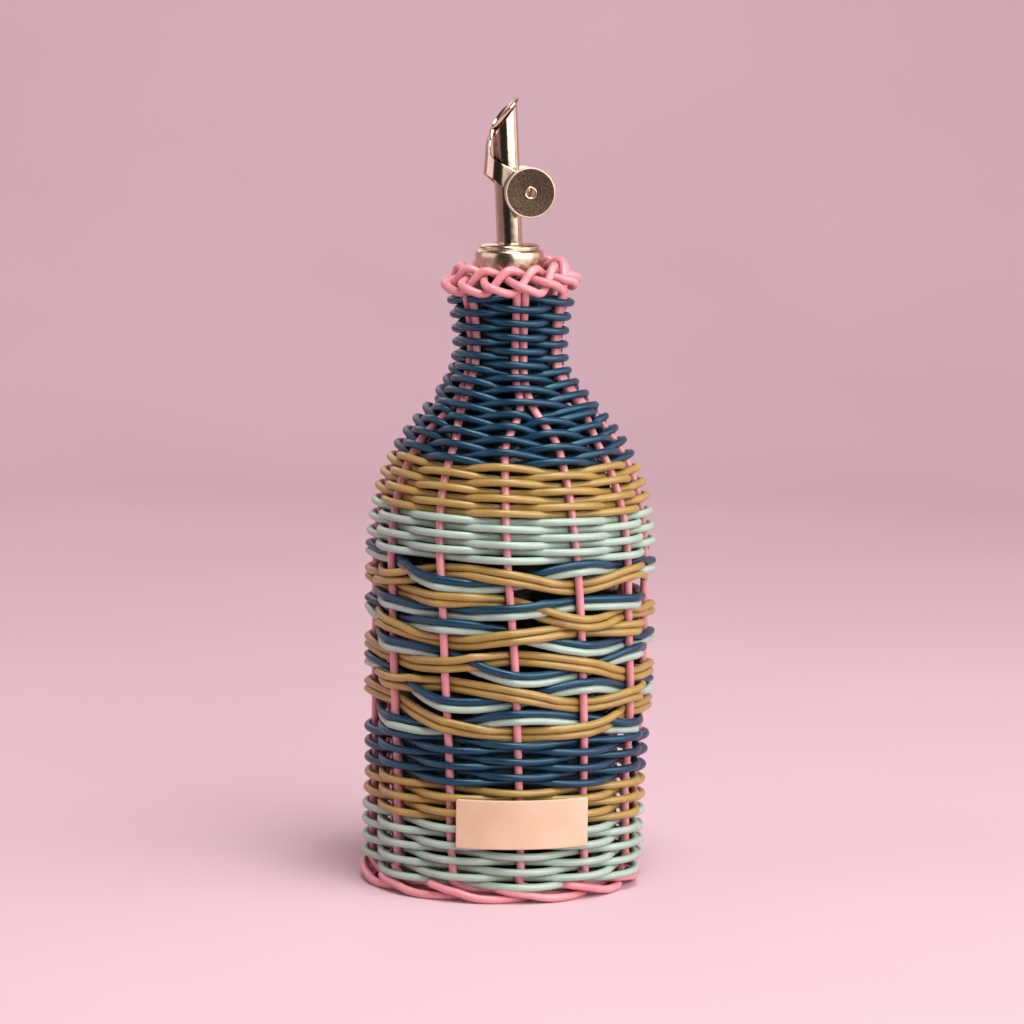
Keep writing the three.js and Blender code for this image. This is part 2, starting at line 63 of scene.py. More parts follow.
# Cane of the cover
WEAVER_RADIUS = 1.22
STAKE_RADIUS = 1.28
CROSSING = WEAVER_RADIUS + STAKE_RADIUS
STAKE_LINE_REACH = 4.5
COVER_BELLY = 1.9
COVER_SWAY = 1.4
NECK_SWAY = 0.5
NECK_SWAY_FOOT = 120.0
NECK_SWAY_FULL = 175.0
FOOT_SPREAD = 1.0
SPREAD_END = 20.0
SPREAD_GONE = 36.0
BELLY_FOOT = 10.0
BELLY_FULL = 70.0
BELLY_END = 149.0
BELLY_GONE = 165.0
COVER_FLARE = 2.5
FLARE_FOOT = 170.0
FLARE_TOP = 188.0

# Stakes
STAKE_COUNT = 12
STAKE_PITCH = 360 / STAKE_COUNT
STAKE_TURN = -4.0
STAKE_TWIST = 13.0
STAKE_FOOT = 8.5
STAKE_TOP = 189.0
STAKE_STEPS = 110
STAKE_WANDER = 0.35
STAKE_WANDER_PACE = 2.2
STAKE_DEPTH_WANDER = 0.06
STAKE_DEPTH_PACE = 3.0
PAIR_START = 141.0
PAIR_END = 157.0
PAIR_GAP = 0.08

# Plain rows
FOOT_PITCH = 2.5
UPPER_PITCH = 2.33
FIRST_ROW = 2.9
FIRST_ROW_DELAY = 75.0
FIRST_UPPER_ROW = 105.8
PAIR_WEAVE_HEIGHT = 149.5
LAST_ROW = 187.2
FOOT_BANDS = (("mint_foot", 8), ("ochre_foot", 5), ("navy_foot", 6))
UPPER_BANDS = (("mint", 6), ("ochre", 7))
FOOT_LIFT = 1.2
FOOT_LIFT_ROWS = 4
FOOT_LIFT_RISE = (15, 75)
FOOT_LIFT_FALL = (120, 175)
SEAM_TURN = 180.0
STEPS_PER_TURN = 144
PAIRED_REACH = 1.05
PAIRED_ROUNDING = 0.8
ROW_WANDER = 0.14
WANDER_WAVES = 3
WANDER_PACE = (0.7, 3.4)
WANDER_LEVEL = 1.8

# Wave band: canes in pairs. The mark tells whether a pair is in front of the leftmost front stake; its heights
# at the front stakes are given left to right, top row first.
WAVE_PAIRS = [
    (("ochre", "ochre"), True, [(99.6, 103.6, 102.9, 98.5, 102.5), (85.4, 81.0, 84.3, 85.5, 84.4),
                                (67.1, 68.1, 66.4, 61.3, 63.5)]),
    (("navy", "mint"), False, [(105.3, 100.2, 100.3, 105.6, 103.0), (85.8, 87.1, 84.8, 80.0, 79.4),
                               (68.5, 62.4, 63.7, 68.7, 64.1)]),
    (("ochre", "ochre"), False, [(95.9, 95.1, 94.3, 87.9, 88.8), (73.9, 74.6, 77.3, 74.9, 68.6),
                                 (60.4, 55.9, 53.0, 54.6, 57.0)]),
    (("navy", "mint"), True, [(92.5, 90.8, 92.1, 93.7, 92.8), (79.0, 77.3, 71.1, 72.4, 77.0),
                              (54.1, 54.2, 59.5, 56.7, 52.3)]),
]
WAVE_LEFT_STAKE = -2
WAVE_TOP = 105.5
WAVE_BOTTOM = 54.2
WAVE_END_STAKES = (4, 7)
WAVE_DESCENT = 1.55
WAVE_SWING = 0.8
WAVE_STEPS = 12
WAVE_COLUMNS = STAKE_COUNT * WAVE_STEPS
WAVE_REACH = 41.5
EASE_ROUNDS = 260
EASE_ROOM = 2 * WEAVER_RADIUS + 0.03
EASE_STRAIGHTEN = (0.10, 0.22)
EASE_PUSH = (0.55, 0.9)
EASE_RETURN = 0.04
EASE_INNERMOST = -CROSSING - 0.9
EASE_OUTERMOST = CROSSING + 1.6

# Mouth border
PLAIT_RADIUS = 17.9
PLAIT_HEIGHT = 191.8
PLAIT_REACH = 4.0
PLAIT_DEPTH = 1.62
PLAIT_CANE = 1.32
PLAIT_ROUNDS = 3
PLAIT_WAVES = 13
PLAIT_STEPS = 26
PLAIT_SKEW = 0.18
PLAIT_UNEVEN = ((0.08, 7, 1.0), (0.05, 11, 0.0))
PLAIT_TILT = 48.0
PLAIT_RISE = 2.4
PLAIT_RISE_TURN = 130.0

# Foot border: turn from the next stake, distance outside the stake line and height along each stake's lower end
BORDER_ROUTE = [(-30, 0.0, 9.0), (-29.6, -0.5, 7.2), (-28, -1.3, 5.4), (-23, -2.2, 4.3), (-15, -2.2, 4.5),
                (-10.5, -1.3, 4.7), (-8, 0.8, 4.9), (-5, 1.6, 4.7), (0, 1.7, 3.9), (5, 1.7, 2.9), (10, 1.6, 2.0),
                (15, 1.4, 1.45), (20, 1.0, 1.32), (25, 0.2, 1.32), (30, -1.1, 1.32), (34, -2.2, 1.4)]
BORDER_CANE = 1.3
BORDER_SWAY = -1.1
BORDER_TURN_OUT = 4
BORDER_SINK = 0.85
BORDER_WANDER = (-0.15, 0.2)
BORDER_LEVEL = 2
BORDER_STEPS = 8

# Mat under the bottle
MAT_HEIGHT = 2.0
MAT_RADIUS = 38.0
MAT_MIDDLE = 6.0
MAT_PITCH = 1.75
MAT_SWING = 0.75
MAT_CANE = 0.82
MAT_STEPS = 60
MAT_SPOKE = (4, MAT_RADIUS + 2)

# Leather tag
TAG_WIDTH = 42.0
TAG_HEIGHT = 15.4
TAG_THICKNESS = 1.2
TAG_MIDDLE_HEIGHT = 25.7
TAG_TURN = 8.0
TAG_INNER_RADIUS = 46.0
TAG_CORNER = 0.35
TAG_EDGE = 0.3
TAG_COLUMNS = 61
TAG_ROWS = 23

# Pourer
COLLAR_FOOT = 193.5
COLLAR_SKIRT = 8.0
COLLAR_STEP = 2.0
COLLAR_TOP = COLLAR_FOOT + COLLAR_SKIRT + COLLAR_STEP
COLLAR_RADIUS = 10.9
COLLAR_STEP_RADIUS = 9.5
COLLAR_WALL = 1.0
COLLAR_CORNER = 0.3
STOPPER_RIB_RADIUS = 7.9
STOPPER_CORE_RADIUS = 7.1
STOPPER_LENGTH = 21.0
STOPPER_RIBS = 4
STOPPER_RIB_SHARES = (0.3, 0.45, 0.6)
POUR_TURN = 10.0
SPOUT_LEAN = 3.0
SPOUT_RADIUS = 4.1
SPOUT_BORE = 3.6
SPOUT_HEIGHT = 44.1
SPOUT_FOOT = -31.3
SPOUT_RIM = 1.2
SPOUT_EDGE = 0.12
MOUTH_SLANT = 40.5

# Flap with its weights
SHEET = 0.6
SHEET_EDGE = 0.12
LID_OVERHANG = 0.4
LID_LIFT = 0.95
LID_RIM = 0.72
LID_RINGS = 18
LID_SPOKES = 72
FIT_GAP = 0.3
FLAP_LEAN = 7.0
FLAP_BACK = -12.0
FLAP_UPPER = np.array([(-4.3, 1.5), (-4.24, 0.9), (-5.2, -1.9), (-5.6, -4.5), (-5.2, -6.7), (-3.9, -8.4),
                       (-1.8, -9.6), (1.2, -11.1)])
FLAP_LOWER = np.array([(FLAP_BACK, 6.1), (-7.2, 3.5), (-4.75, 1.7)])
FLAP_LOWER_BEND = np.array([(-2, -1.3), (-0.7, -3.9), (-0.19, -7.25)])
FLAP_ROWS = 24
SHROUD_BEND = 0.9
SHROUD_BEND_LENGTH = 4.5
SHROUD_RADIUS = 4.7
ARM_STEPS = 60
ARM_CROWDING = 1.7
PIVOT_HEIGHT = 18.5
PIVOT_RADIUS = 0.8
PIVOT_DEPTH = 0.3
WEIGHT_RADIUS = 8.0
WEIGHT_THICKNESS = 2.4
WEIGHT_SETBACK = 5.9
WEIGHT_HEIGHT = 15.8
WEIGHT_RIM = 0.5
WEIGHT_SINK = 0.12
WEIGHT_CORNER = 0.3
RIVET_BORE = 1.4
RIVET_RADIUS = 1.6
RIVET_FLANGE = 2.0
RIVET_HEAD = 0.4
RIVET_SEAT = 0.05
DRILL_REACH = 12.0
EAR_RADIUS = WEIGHT_RADIUS - 0.4
EAR_OUTER = SHROUD_RADIUS + SHEET
WEIGHT_FOOT = EAR_OUTER + FIT_GAP
WEIGHT_TOP = WEIGHT_FOOT + WEIGHT_THICKNESS

# Camera and stage
CAMERA_PLACE = (1.7, -1255.0, 273.0)
CAMERA_PITCH = 7.05
CAMERA_ROLL = 0.65
CAMERA_LENS = 139.5
FLOOR_RADIUS = 1700.0
FLOOR_MIDDLE = -650.0
SWEEP_RADIUS = 600.0
WALL_HEIGHT = 3000.0
STAGE_SEGMENTS = 96
FRONT_PART = (-67, 46)

# Lamps: name, place, aim, width and height, power, colour
LAMPS = (("key", (1.0, -0.84, 0.7), (0, 0, 0.14), (2.0, 1.1), 28.5, (1.0, 0.95, 0.9)),
         ("fill", (-1.3, -0.27, 0.62), (0, 0, 0.14), (1.6, 0.8), 4.5, (1.0, 0.88, 0.9)),
         ("side", (1.22, 0.3, 0.55), (0, 0, 0.16), (0.7, 0.7), 1.5, (1.0, 0.9, 0.8)),
         ("back", (-0.55, 1.15, 0.95), (0, 0, 0.12), (1.3, 0.9), 4, (1.0, 0.95, 0.93)),
         ("top", (0.15, -0.45, 1.5), (0, 0, 0.1), (0.7, 0.7), 18.5, (1.0, 0.97, 0.95)))
KEY_SPOT = (0.95, -0.85, 0.0)
KEY_SPOT_EDGE = 1.05
KEY_SPOT_CORE = 0.2
WORLD_COLOUR = (0.9, 0.78, 0.82, 1)
WORLD_STRENGTH = 0.03


# Materials

NOISE_SPAN = (0.3, 0.7)


def set_sockets(node, values):
    for socket, value in values.items():
        node.inputs[socket].default_value = value


def noise(tree, scale, detail):
    place = tree.nodes.new("ShaderNodeTexCoord")
    texture = tree.nodes.new("ShaderNodeTexNoise")
    set_sockets(texture, {"Scale": scale, "Detail": detail})
    tree.links.new(place.outputs["Object"], texture.inputs["Vector"])
    return texture.outputs["Fac"]


# Colour, roughness and relief vary by noise: mottle, scuff and grain are the scale and detail of each
def finish(name, colours, mottle, roughness=None, scuff=None, relief=None, grain=None,
           settings=None, span=NOISE_SPAN):
    material = bpy.data.materials.new(name)
    material.use_nodes = True
    tree = material.node_tree
    surface = tree.nodes["Principled BSDF"]
    set_sockets(surface, settings or {})
    tint = tree.nodes.new("ShaderNodeValToRGB")
    for stop, position, colour in zip(tint.color_ramp.elements, span, colours):
        stop.position = position
        stop.color = (*colour, 1)
    tree.links.new(noise(tree, *mottle), tint.inputs["Fac"])
    tree.links.new(tint.outputs["Color"], surface.inputs["Base Color"])
    if roughness:
        between = tree.nodes.new("ShaderNodeMapRange")
        set_sockets(between, {"From Min": NOISE_SPAN[0], "From Max": NOISE_SPAN[1],
                              "To Min": roughness[0], "To Max": roughness[1]})
        tree.links.new(noise(tree, *scuff), between.inputs["Value"])
        tree.links.new(between.outputs["Result"], surface.inputs["Roughness"])
    if relief:
        bump = tree.nodes.new("ShaderNodeBump")
        set_sockets(bump, {"Strength": relief[0], "Distance": relief[1]})
        tree.links.new(noise(tree, *grain), bump.inputs["Height"])
        tree.links.new(bump.outputs["Normal"], surface.inputs["Normal"])
    return material


# A second colour over a finish's own, as far as the factor says
def lay_over(material, factor, colour):
    tree = material.node_tree
    base = tree.nodes["Principled BSDF"].inputs["Base Color"]
    blend = tree.nodes.new("ShaderNodeMix")
    blend.data_type = "RGBA"
    blend.inputs["B"].default_value = (*colour, 1)
    tree.links.new(factor, blend.inputs["Factor"])
    tree.links.new(base.links[0].from_socket, blend.inputs["A"])
    tree.links.new(blend.outputs["Result"], base)


def cane_finish(name, dark, light, gloss=(1, 1, 1)):
    return finish(name, (dark, light), (130, 2), (0.32, 0.42), (420, 4), (0.14, 0.0002), (1900, 3),
                  {"Specular IOR Level": 0.8, "Specular Tint": (*gloss, 1)})


def steel_finish(name, dark, light, roughness, strength, mottle=(160, 3), span=NOISE_SPAN):
    return finish(name, (dark, light), mottle, roughness, (700, 5), (strength, 0.00005), (2600, 4),
                  {"Metallic": 1.0}, span)


# Weights: a dark tumbled face, with the polish worn through on the rim
def weight_finish():
    material = steel_finish("tumbled steel", (0.045, 0.029, 0.02), (0.125, 0.09, 0.066), (0.36, 0.48), 0.16,
                            (2400, 3), (0.38, 0.62))
    rim = material.node_tree.nodes.new("ShaderNodeAttribute")
    rim.attribute_name = "rim"
    lay_over(material, rim.outputs["Fac"], (0.6, 0.5, 0.39))
    return material


CANE = {
    "pink": cane_finish("pink cane", (0.67, 0.235, 0.275), (0.75, 0.30, 0.34)),
    "navy": cane_finish("navy cane", (0.001, 0.02, 0.052), (0.002, 0.031, 0.074), (0.5, 0.88, 1.0)),
    "ochre": cane_finish("ochre cane", (0.31, 0.2, 0.045), (0.405, 0.268, 0.063)),
    "mint": cane_finish("mint cane", (0.305, 0.43, 0.365), (0.38, 0.515, 0.44)),
}
polished_steel = steel_finish("polished steel", (0.60, 0.49, 0.37), (0.68, 0.57, 0.44), (0.1, 0.16), 0.02)
satin_steel = steel_finish("satin steel", (0.56, 0.44, 0.32), (0.64, 0.52, 0.39), (0.2, 0.28), 0.05)
tumbled_steel = weight_finish()
# Painted shade: the glass's dark grey-green tint stands in for the shade inside the bottle, seen through the gaps
# in the cover.
shade_tinted_glass = finish("shade tinted glass", ((0.16, 0.20, 0.19), (0.22, 0.26, 0.25)), (25, 1), (0.14, 0.2), (60, 2),
                      settings={"Transmission Weight": 1.0, "IOR": 1.5, "Specular IOR Level": 0.06,
                                "Specular Tint": (0.2, 0.22, 0.21, 1)})
natural_leather = finish("natural leather", ((0.63, 0.43, 0.29), (0.71, 0.51, 0.37)), (95, 5),
                         (0.48, 0.62), (800, 4), (0.25, 0.0002), (1500, 6))
dark_elastomer = finish("dark elastomer", ((0.018, 0.018, 0.018), (0.04, 0.04, 0.04)), (200, 3),
                        (0.6, 0.75), (500, 3))


# Making meshes

def new_object(name, vertices, faces, material):
    mesh = bpy.data.meshes.new(name)
    mesh.from_pydata([tuple(v) for v in vertices], [], faces)
    mesh.materials.append(material)
    mesh.update()
    piece = bpy.data.objects.new(name, mesh)
    bpy.context.scene.collection.objects.link(piece)
    return piece


def make_plain(piece):
    bpy.context.view_layer.update()
    evaluated = piece.evaluated_get(bpy.context.evaluated_depsgraph_get())
    mesh = bpy.data.meshes.new_from_object(evaluated)
    plain = bpy.data.objects.new(piece.name, mesh)
    name = piece.name
    bpy.data.objects.remove(piece)
    plain.name = name
    mesh.name = name
    bpy.context.scene.collection.objects.link(plain)
    return plain


def clean(piece):
    work = bmesh.new()
    work.from_mesh(piece.data)
    bmesh.ops.remove_doubles(work, verts=work.verts, dist=1e-7)
    bmesh.ops.dissolve_degenerate(work, edges=work.edges, dist=1e-8)
    bmesh.ops.recalc_face_normals(work, faces=work.faces)
    work.to_mesh(piece.data)
    work.free()
    piece.data.update()


def smooth(piece, angle):
    piece.data.shade_smooth()
    piece.data.set_sharp_from_angle(angle=math.radians(angle))


def soften_edges(piece, width, segments):
    edge = piece.modifiers.new("soft edge", "BEVEL")
    edge.width = width * MM
    edge.segments = segments
    edge.limit_method = "ANGLE"
    edge.angle_limit = math.radians(50)


def settle(piece, body, slot, *nodes):
    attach(piece, body)
    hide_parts(*nodes)


def placed(points, matrix):
    return [matrix @ Vector(p) for p in points]


# Places from their turn in radians from the front, their reach from the axis and their height
def round_axis(turn, reach, height, sway=0.0):
    height = height + 0 * (turn + reach)
    return np.stack([reach * np.sin(turn) + sway, -reach * np.cos(turn), height], -1) * MM


# Faces of a grid of points given row after row; a loop joins the last row or column to the first
def grid_faces(rows, columns, loop_rows=False, loop_columns=False):
    faces = []
    for row in range(rows if loop_rows else rows - 1):
        here, there = row * columns, (row + 1) % rows * columns
        for column in range(columns if loop_columns else columns - 1):
            beside = (column + 1) % columns
            faces.append((here + column, there + column, there + beside, here + beside))
    return faces


def flipped(faces, first=0):
    return [(first + a, first + d, first + c, first + b) for a, b, c, d in faces]


# A turned piece from a closed outline of (radius, height); level turns a height into one that changes with x
def turned(name, outline, segments, material, matrix=Matrix.Identity(4), sharp=40, level=None):
    rings = len(outline)
    vertices = []
    for step in range(segments):
        turn = 2 * math.pi * step / segments
        for radius, height in outline:
            x, y = radius * math.cos(turn), radius * math.sin(turn)
            z = level(x, height) if level else height
            vertices.append((x * MM, y * MM, z * MM))
    faces = [face for face in grid_faces(segments, rings, True, True)
             if outline[face[0] % rings][0] > 0 or outline[face[3] % rings][0] > 0]
    piece = new_object(name, placed(vertices, matrix), faces, material)
    clean(piece)
    smooth(piece, sharp)
    return piece


def quadratic(a, b, c, steps=10):
    t = np.linspace(0, 1, steps)[:, None]
    return (1 - t) ** 2 * np.array(a) + 2 * t * (1 - t) * np.array(b) + t ** 2 * np.array(c)


# Corners of a closed outline replaced by small arcs
def rounded(outline, radius, steps=4):
    result = []
    count = len(outline)
    for i in range(count):
        before, here, after = (np.array(outline[(i + k) % count], float) for k in (-1, 0, 1))
        into, out = here - before, after - here
        reach = min(radius, 0.45 * np.linalg.norm(into), 0.45 * np.linalg.norm(out))
        if here[0] <= 0 or reach < 1e-6:
            result.append(here)
            continue
        start = here - into / np.linalg.norm(into) * reach
        end = here + out / np.linalg.norm(out) * reach
        result += list(quadratic(start, here, end, steps + 1))
    return result


def bezier(points, steps):
    a, b, c, d = np.array(points, float)
    t = np.linspace(0, 1, steps)[:, None]
    return (1 - t) ** 3 * a + 3 * (1 - t) ** 2 * t * b + 3 * (1 - t) * t ** 2 * c + t ** 3 * d


# A smooth run through values, with a number of steps from each to the next
def catmull(values, steps):
    padded = np.concatenate([[2 * values[0] - values[1]], values, [2 * values[-1] - values[-2]]])
    result = []
    for i in range(1, len(padded) - 2):
        a, b, c, d = padded[i - 1:i + 3]
        for k in range(steps):
            t = k / steps
            result.append(0.5 * (2 * b + (c - a) * t + (2 * a - 5 * b + 4 * c - d) * t ** 2
                                 + (3 * b - a - 3 * c + d) * t ** 3))
    result.append(values[-1])
    return np.array(result)


def smoothstep(value, low, high):
    t = np.clip((value - low) / (high - low), 0, 1)
    return t * t * (3 - 2 * t)


# Round cane swept along paths

def cane_tree():
    tree = bpy.data.node_groups.new("round cane", "GeometryNodeTree")
    for name, kind in (("Paths", "Geometry"), ("Radius", "Float"), ("Sides", "Int"), ("Finish", "Material")):
        tree.interface.new_socket(name, in_out="INPUT", socket_type="NodeSocket" + kind)
    tree.interface.new_socket("Cane", in_out="OUTPUT", socket_type="NodeSocketGeometry")
    given, section, sweep, soften, realize, paint, made = (tree.nodes.new(kind) for kind in (
        "NodeGroupInput", "GeometryNodeCurvePrimitiveCircle", "GeometryNodeCurveToMesh",
        "GeometryNodeSetShadeSmooth", "GeometryNodeRealizeInstances", "GeometryNodeSetMaterial",
        "NodeGroupOutput"))
    sweep.inputs["Fill Caps"].default_value = True
    for source, output, target, socket in (
            (given, "Radius", section, "Radius"), (given, "Sides", section, "Resolution"),
            (given, "Paths", sweep, "Curve"), (section, "Curve", sweep, "Profile Curve"),
            (sweep, "Mesh", soften, "Geometry"), (soften, "Geometry", realize, "Geometry"),
            (realize, "Geometry", paint, "Geometry"), (given, "Finish", paint, "Material"),
            (paint, "Geometry", made, "Cane")):
        tree.links.new(source.outputs[output], target.inputs[socket])
    return tree


CANE_TREE = cane_tree()


def canes(name, paths, radius, material, sides=10, closed=False):
    curve = bpy.data.curves.new(name + "_paths", "CURVE")
    curve.dimensions = "3D"
    for path in paths:
        spline = curve.splines.new("POLY")
        spline.points.add(len(path) - 1)
        flat = np.ones((len(path), 4))
        flat[:, :3] = path
        spline.points.foreach_set("co", flat.ravel())
        spline.use_cyclic_u = closed
    piece = bpy.data.objects.new(name, curve)
    bpy.context.scene.collection.objects.link(piece)
    sweep = piece.modifiers.new("round cane", "NODES")
    sweep.node_group = CANE_TREE
    values = {"Radius": radius * MM, "Sides": sides, "Finish": material}
    for socket in CANE_TREE.interface.items_tree:
        if socket.in_out == "INPUT" and socket.name in values:
            sweep[socket.identifier] = values[socket.name]
    return make_plain(piece)


# The line that the stakes follow, as radius and height against length along it

def glass_outline():
    shoulder = bezier([
        (GLASS_BODY_RADIUS, GLASS_SHOULDER_HEIGHT),
        (GLASS_BODY_RADIUS, GLASS_SHOULDER_HEIGHT + GLASS_SHOULDER_PULL),
        (GLASS_NECK_RADIUS, GLASS_NECK_HEIGHT - GLASS_NECK_PULL),
        (GLASS_NECK_RADIUS, GLASS_NECK_HEIGHT),
    ], 80)
    body = [(GLASS_BODY_RADIUS, z) for z in np.linspace(0, GLASS_SHOULDER_HEIGHT, 60)[:-1]]
    neck = [(GLASS_NECK_RADIUS, z) for z in np.linspace(GLASS_NECK_HEIGHT, BOTTLE_HEIGHT, 30)[1:]]
    return np.vstack([body, shoulder, neck])


def run_of(line):
    run = np.gradient(line, axis=0)
    return run / np.linalg.norm(run, axis=1)[:, None]


def moved_out(line, reach):
    run = run_of(line)
    return line + np.stack([run[:, 1], -run[:, 0]], 1) * reach


def belly(height):
    return smoothstep(height, BELLY_FOOT, BELLY_FULL) * (1 - smoothstep(height, BELLY_END, BELLY_GONE))


def stand_off(height):
    flare = np.clip((height - FLARE_FOOT) / (FLARE_TOP - FLARE_FOOT), 0, 1)
    spread = 1 - smoothstep(height, SPREAD_END, SPREAD_GONE)
    return FOOT_SPREAD * spread + COVER_BELLY * belly(height) + COVER_FLARE * flare ** 2


GLASS_LINE = glass_outline()
LINE = moved_out(GLASS_LINE, (STAKE_LINE_REACH + stand_off(GLASS_LINE[:, 1]))[:, None])
LINE_ALONG = np.concatenate([[0], np.cumsum(np.linalg.norm(np.diff(LINE, axis=0), axis=1))])
LINE_RUN = run_of(LINE)


# Radius and height of the line, and how far it runs outwards and upwards there
def line_at(along):
    return [np.interp(along, LINE_ALONG, values) for values in (*LINE.T, *LINE_RUN.T)]


def along_at(height):
    return np.interp(height, LINE[:, 1], LINE_ALONG)


# A place on the cover from its turn in degrees, its length along the stake line and its distance outside it
def on_cover(turn, along, outside):
    radius, height, run_out, run_up = line_at(along)
    sway = COVER_SWAY * belly(height) + NECK_SWAY * smoothstep(height, NECK_SWAY_FOOT, NECK_SWAY_FULL)
    return round_axis(np.radians(turn), radius + run_up * outside, height - run_out * outside, sway)


def pair_spread(along):
    radius, height, _, _ = line_at(along)
    closed = np.degrees(np.arcsin((STAKE_RADIUS + PAIR_GAP) / radius))
    return STAKE_PITCH / 2 + (closed - STAKE_PITCH / 2) * smoothstep(height, PAIR_START, PAIR_END)


def first_pair_turn(along):
    height = line_at(along)[1]
    lean = STAKE_TWIST * (1 - np.clip(height / PAIR_START, 0, 1))
    return STAKE_TURN + STAKE_PITCH / 2 + lean


# How far round a place is, counted in pairs of stakes
def pair_count_at(turn, along):
    return (turn - first_pair_turn(along)) / (2 * STAKE_PITCH)


# How far round a place is, counted in stakes, so that every stake has a whole number
def stake_count_at(turn, along):
    spread = pair_spread(along)
    pair = np.round(pair_count_at(turn, along))
    rest = turn - first_pair_turn(along) - 2 * STAKE_PITCH * pair
    inner = 2 * pair + 0.5 + 0.5 * rest / spread
    outer = 0.5 * (np.abs(rest) - spread) / (STAKE_PITCH - spread)
    outside = np.where(rest > 0, 2 * pair + 1 + outer, 2 * pair - outer)
    return np.where(np.abs(rest) <= spread, inner, outside)


def stake_turn_at(index, along):
    pair = math.floor(index / 2)
    side = 1 if index % 2 else -1
    return first_pair_turn(along) + 2 * STAKE_PITCH * pair + side * pair_spread(along)


def foot_turn(index):
    return stake_turn_at(index, along_at(STAKE_FOOT))


# Slow sideways wander that hand-made work has
def wander(turn, size):
    phases = RNG.uniform(0, 2 * math.pi, WANDER_WAVES)
    paces = RNG.uniform(*WANDER_PACE, WANDER_WAVES)
    waves = sum(np.sin(np.radians(turn) * pace + phase) for pace, phase in zip(paces, phases))
    return size * waves / WANDER_LEVEL


# Stakes
def stake_path(index):
    along = np.linspace(along_at(STAKE_FOOT), along_at(STAKE_TOP), STAKE_STEPS)
    turn = stake_turn_at(index, along) + wander(along * STAKE_WANDER_PACE, STAKE_WANDER)
    return on_cover(turn, along, wander(along * STAKE_DEPTH_PACE, STAKE_DEPTH_WANDER))


stakes = canes("stakes", [stake_path(i) for i in range(STAKE_COUNT)], STAKE_RADIUS, CANE["pink"], 12)
settle(stakes, "bottle", "cane_pink", *[f"stake_{i + 1:02d}" for i in range(STAKE_COUNT)])


# Plain rows: two weavers chase each other, one row to a turn, and climb to the left

def row_outside(turn, along, parity, paired):
    if paired:
        swing = np.cos(np.pi * (pair_count_at(turn, along) + parity))
        return PAIRED_REACH * CROSSING * np.tanh(PAIRED_ROUNDING * swing) / math.tanh(PAIRED_ROUNDING)
    return CROSSING * np.cos(np.pi * (stake_count_at(turn, along) + parity))


# The lowest rows lie level on the right, where the border is deepest
def foot_lift(turn, number):
    side = (turn + 180) % 360 - 180
    share = smoothstep(side, *FOOT_LIFT_RISE) * (1 - smoothstep(side, *FOOT_LIFT_FALL))
    return FOOT_LIFT * share * np.clip(1 - number / FOOT_LIFT_ROWS, 0, 1)


# The turn nearest to a given one at which a row passes behind a stake, where its end is tucked in
def tucked_turn(turn, along, parity, paired):
    count_at, pitch = (pair_count_at, 2 * STAKE_PITCH) if paired else (stake_count_at, STAKE_PITCH)
    count = count_at(turn, along) + parity
    behind = 2 * np.round((count - 1) / 2) + 1
    return turn + (behind - count) * pitch


def row_path(start, first_row, turns, paired):
    start_along, pitch = start
    at_foot = start_along < along_at(FIRST_UPPER_ROW)
    ends = []
    for passed in (FIRST_ROW_DELAY if at_foot and first_row == 0 else 0, 360 * turns):
        along = start_along + pitch * (first_row + 2 * passed / 360)
        ends.append(tucked_turn(SEAM_TURN - passed, along, first_row % 2, paired and passed > 0))
    turn = np.linspace(*ends, int(STEPS_PER_TURN * turns) + 5)
    number = first_row + 2 * (SEAM_TURN - turn) / 360
    along = start_along + pitch * number
    if at_foot:
        along = along + foot_lift(turn, number)
    within = along < along_at(LAST_ROW)
    turn, along = turn[within], along[within]
    along = along + wander(turn, ROW_WANDER)
    return on_cover(turn, along, row_outside(turn, along, first_row % 2, paired))


# One band of rows in the colour that its name starts with; gives the number of the row above it
def plain_band(band, start, first_row, rows, paired=False):
    colour = band.split("_")[0]
    paths = [row_path(start, first_row + shift, (rows - shift + 1) // 2, paired) for shift in (0, 1)]
    piece = canes(band + "_canes", paths, WEAVER_RADIUS, CANE[colour])
    settle(piece, "bottle", "cane_" + colour, band + "_weaver_a", band + "_weaver_b")
    return first_row + rows


foot_start = (along_at(FIRST_ROW), FOOT_PITCH)
foot_rows = 0
for band, rows in FOOT_BANDS:
    foot_rows = plain_band(band, foot_start, foot_rows, rows)

upper_start = (along_at(FIRST_UPPER_ROW), UPPER_PITCH)
upper_rows = 0
for band, rows in UPPER_BANDS:
    upper_rows = plain_band(band, upper_start, upper_rows, rows)
pair_row = round((along_at(PAIR_WEAVE_HEIGHT) - upper_start[0]) / UPPER_PITCH)
top_row = math.ceil((along_at(LAST_ROW) - upper_start[0]) / UPPER_PITCH)
plain_band("navy_shoulder", upper_start, upper_rows, pair_row - upper_rows)
plain_band("navy_neck", upper_start, pair_row, top_row - pair_row, True)


# Wave band

def in_front_at(stake, starts_in_front):
    return (stake % 2 == 0) == starts_in_front


# Heights of one pair at every stake that it passes, from its start behind to its end behind
def wave_knots(starts_in_front, rows):
    known = (STAKE_COUNT * np.arange(len(rows))[:, None] + np.arange(len(rows[0]))).ravel()
    heights = np.concatenate(rows)
    first = known[0] - int(np.clip((WAVE_TOP - heights[0]) / WAVE_DESCENT, *WAVE_END_STAKES))
    last = known[-1] + int(np.clip((heights[-1] - WAVE_BOTTOM) / WAVE_DESCENT, *WAVE_END_STAKES))
    first -= in_front_at(first, starts_in_front)
    last += in_front_at(last, starts_in_front)
    every = np.arange(first, last + 1)
    filled = np.interp(every, [first, *known, last], [max(WAVE_TOP, heights[0]), *heights, WAVE_BOTTOM])
    swing = np.where(in_front_at(every, starts_in_front), WAVE_SWING, -WAVE_SWING)
    return every, filled + np.where(np.isin(every, known), 0, swing)


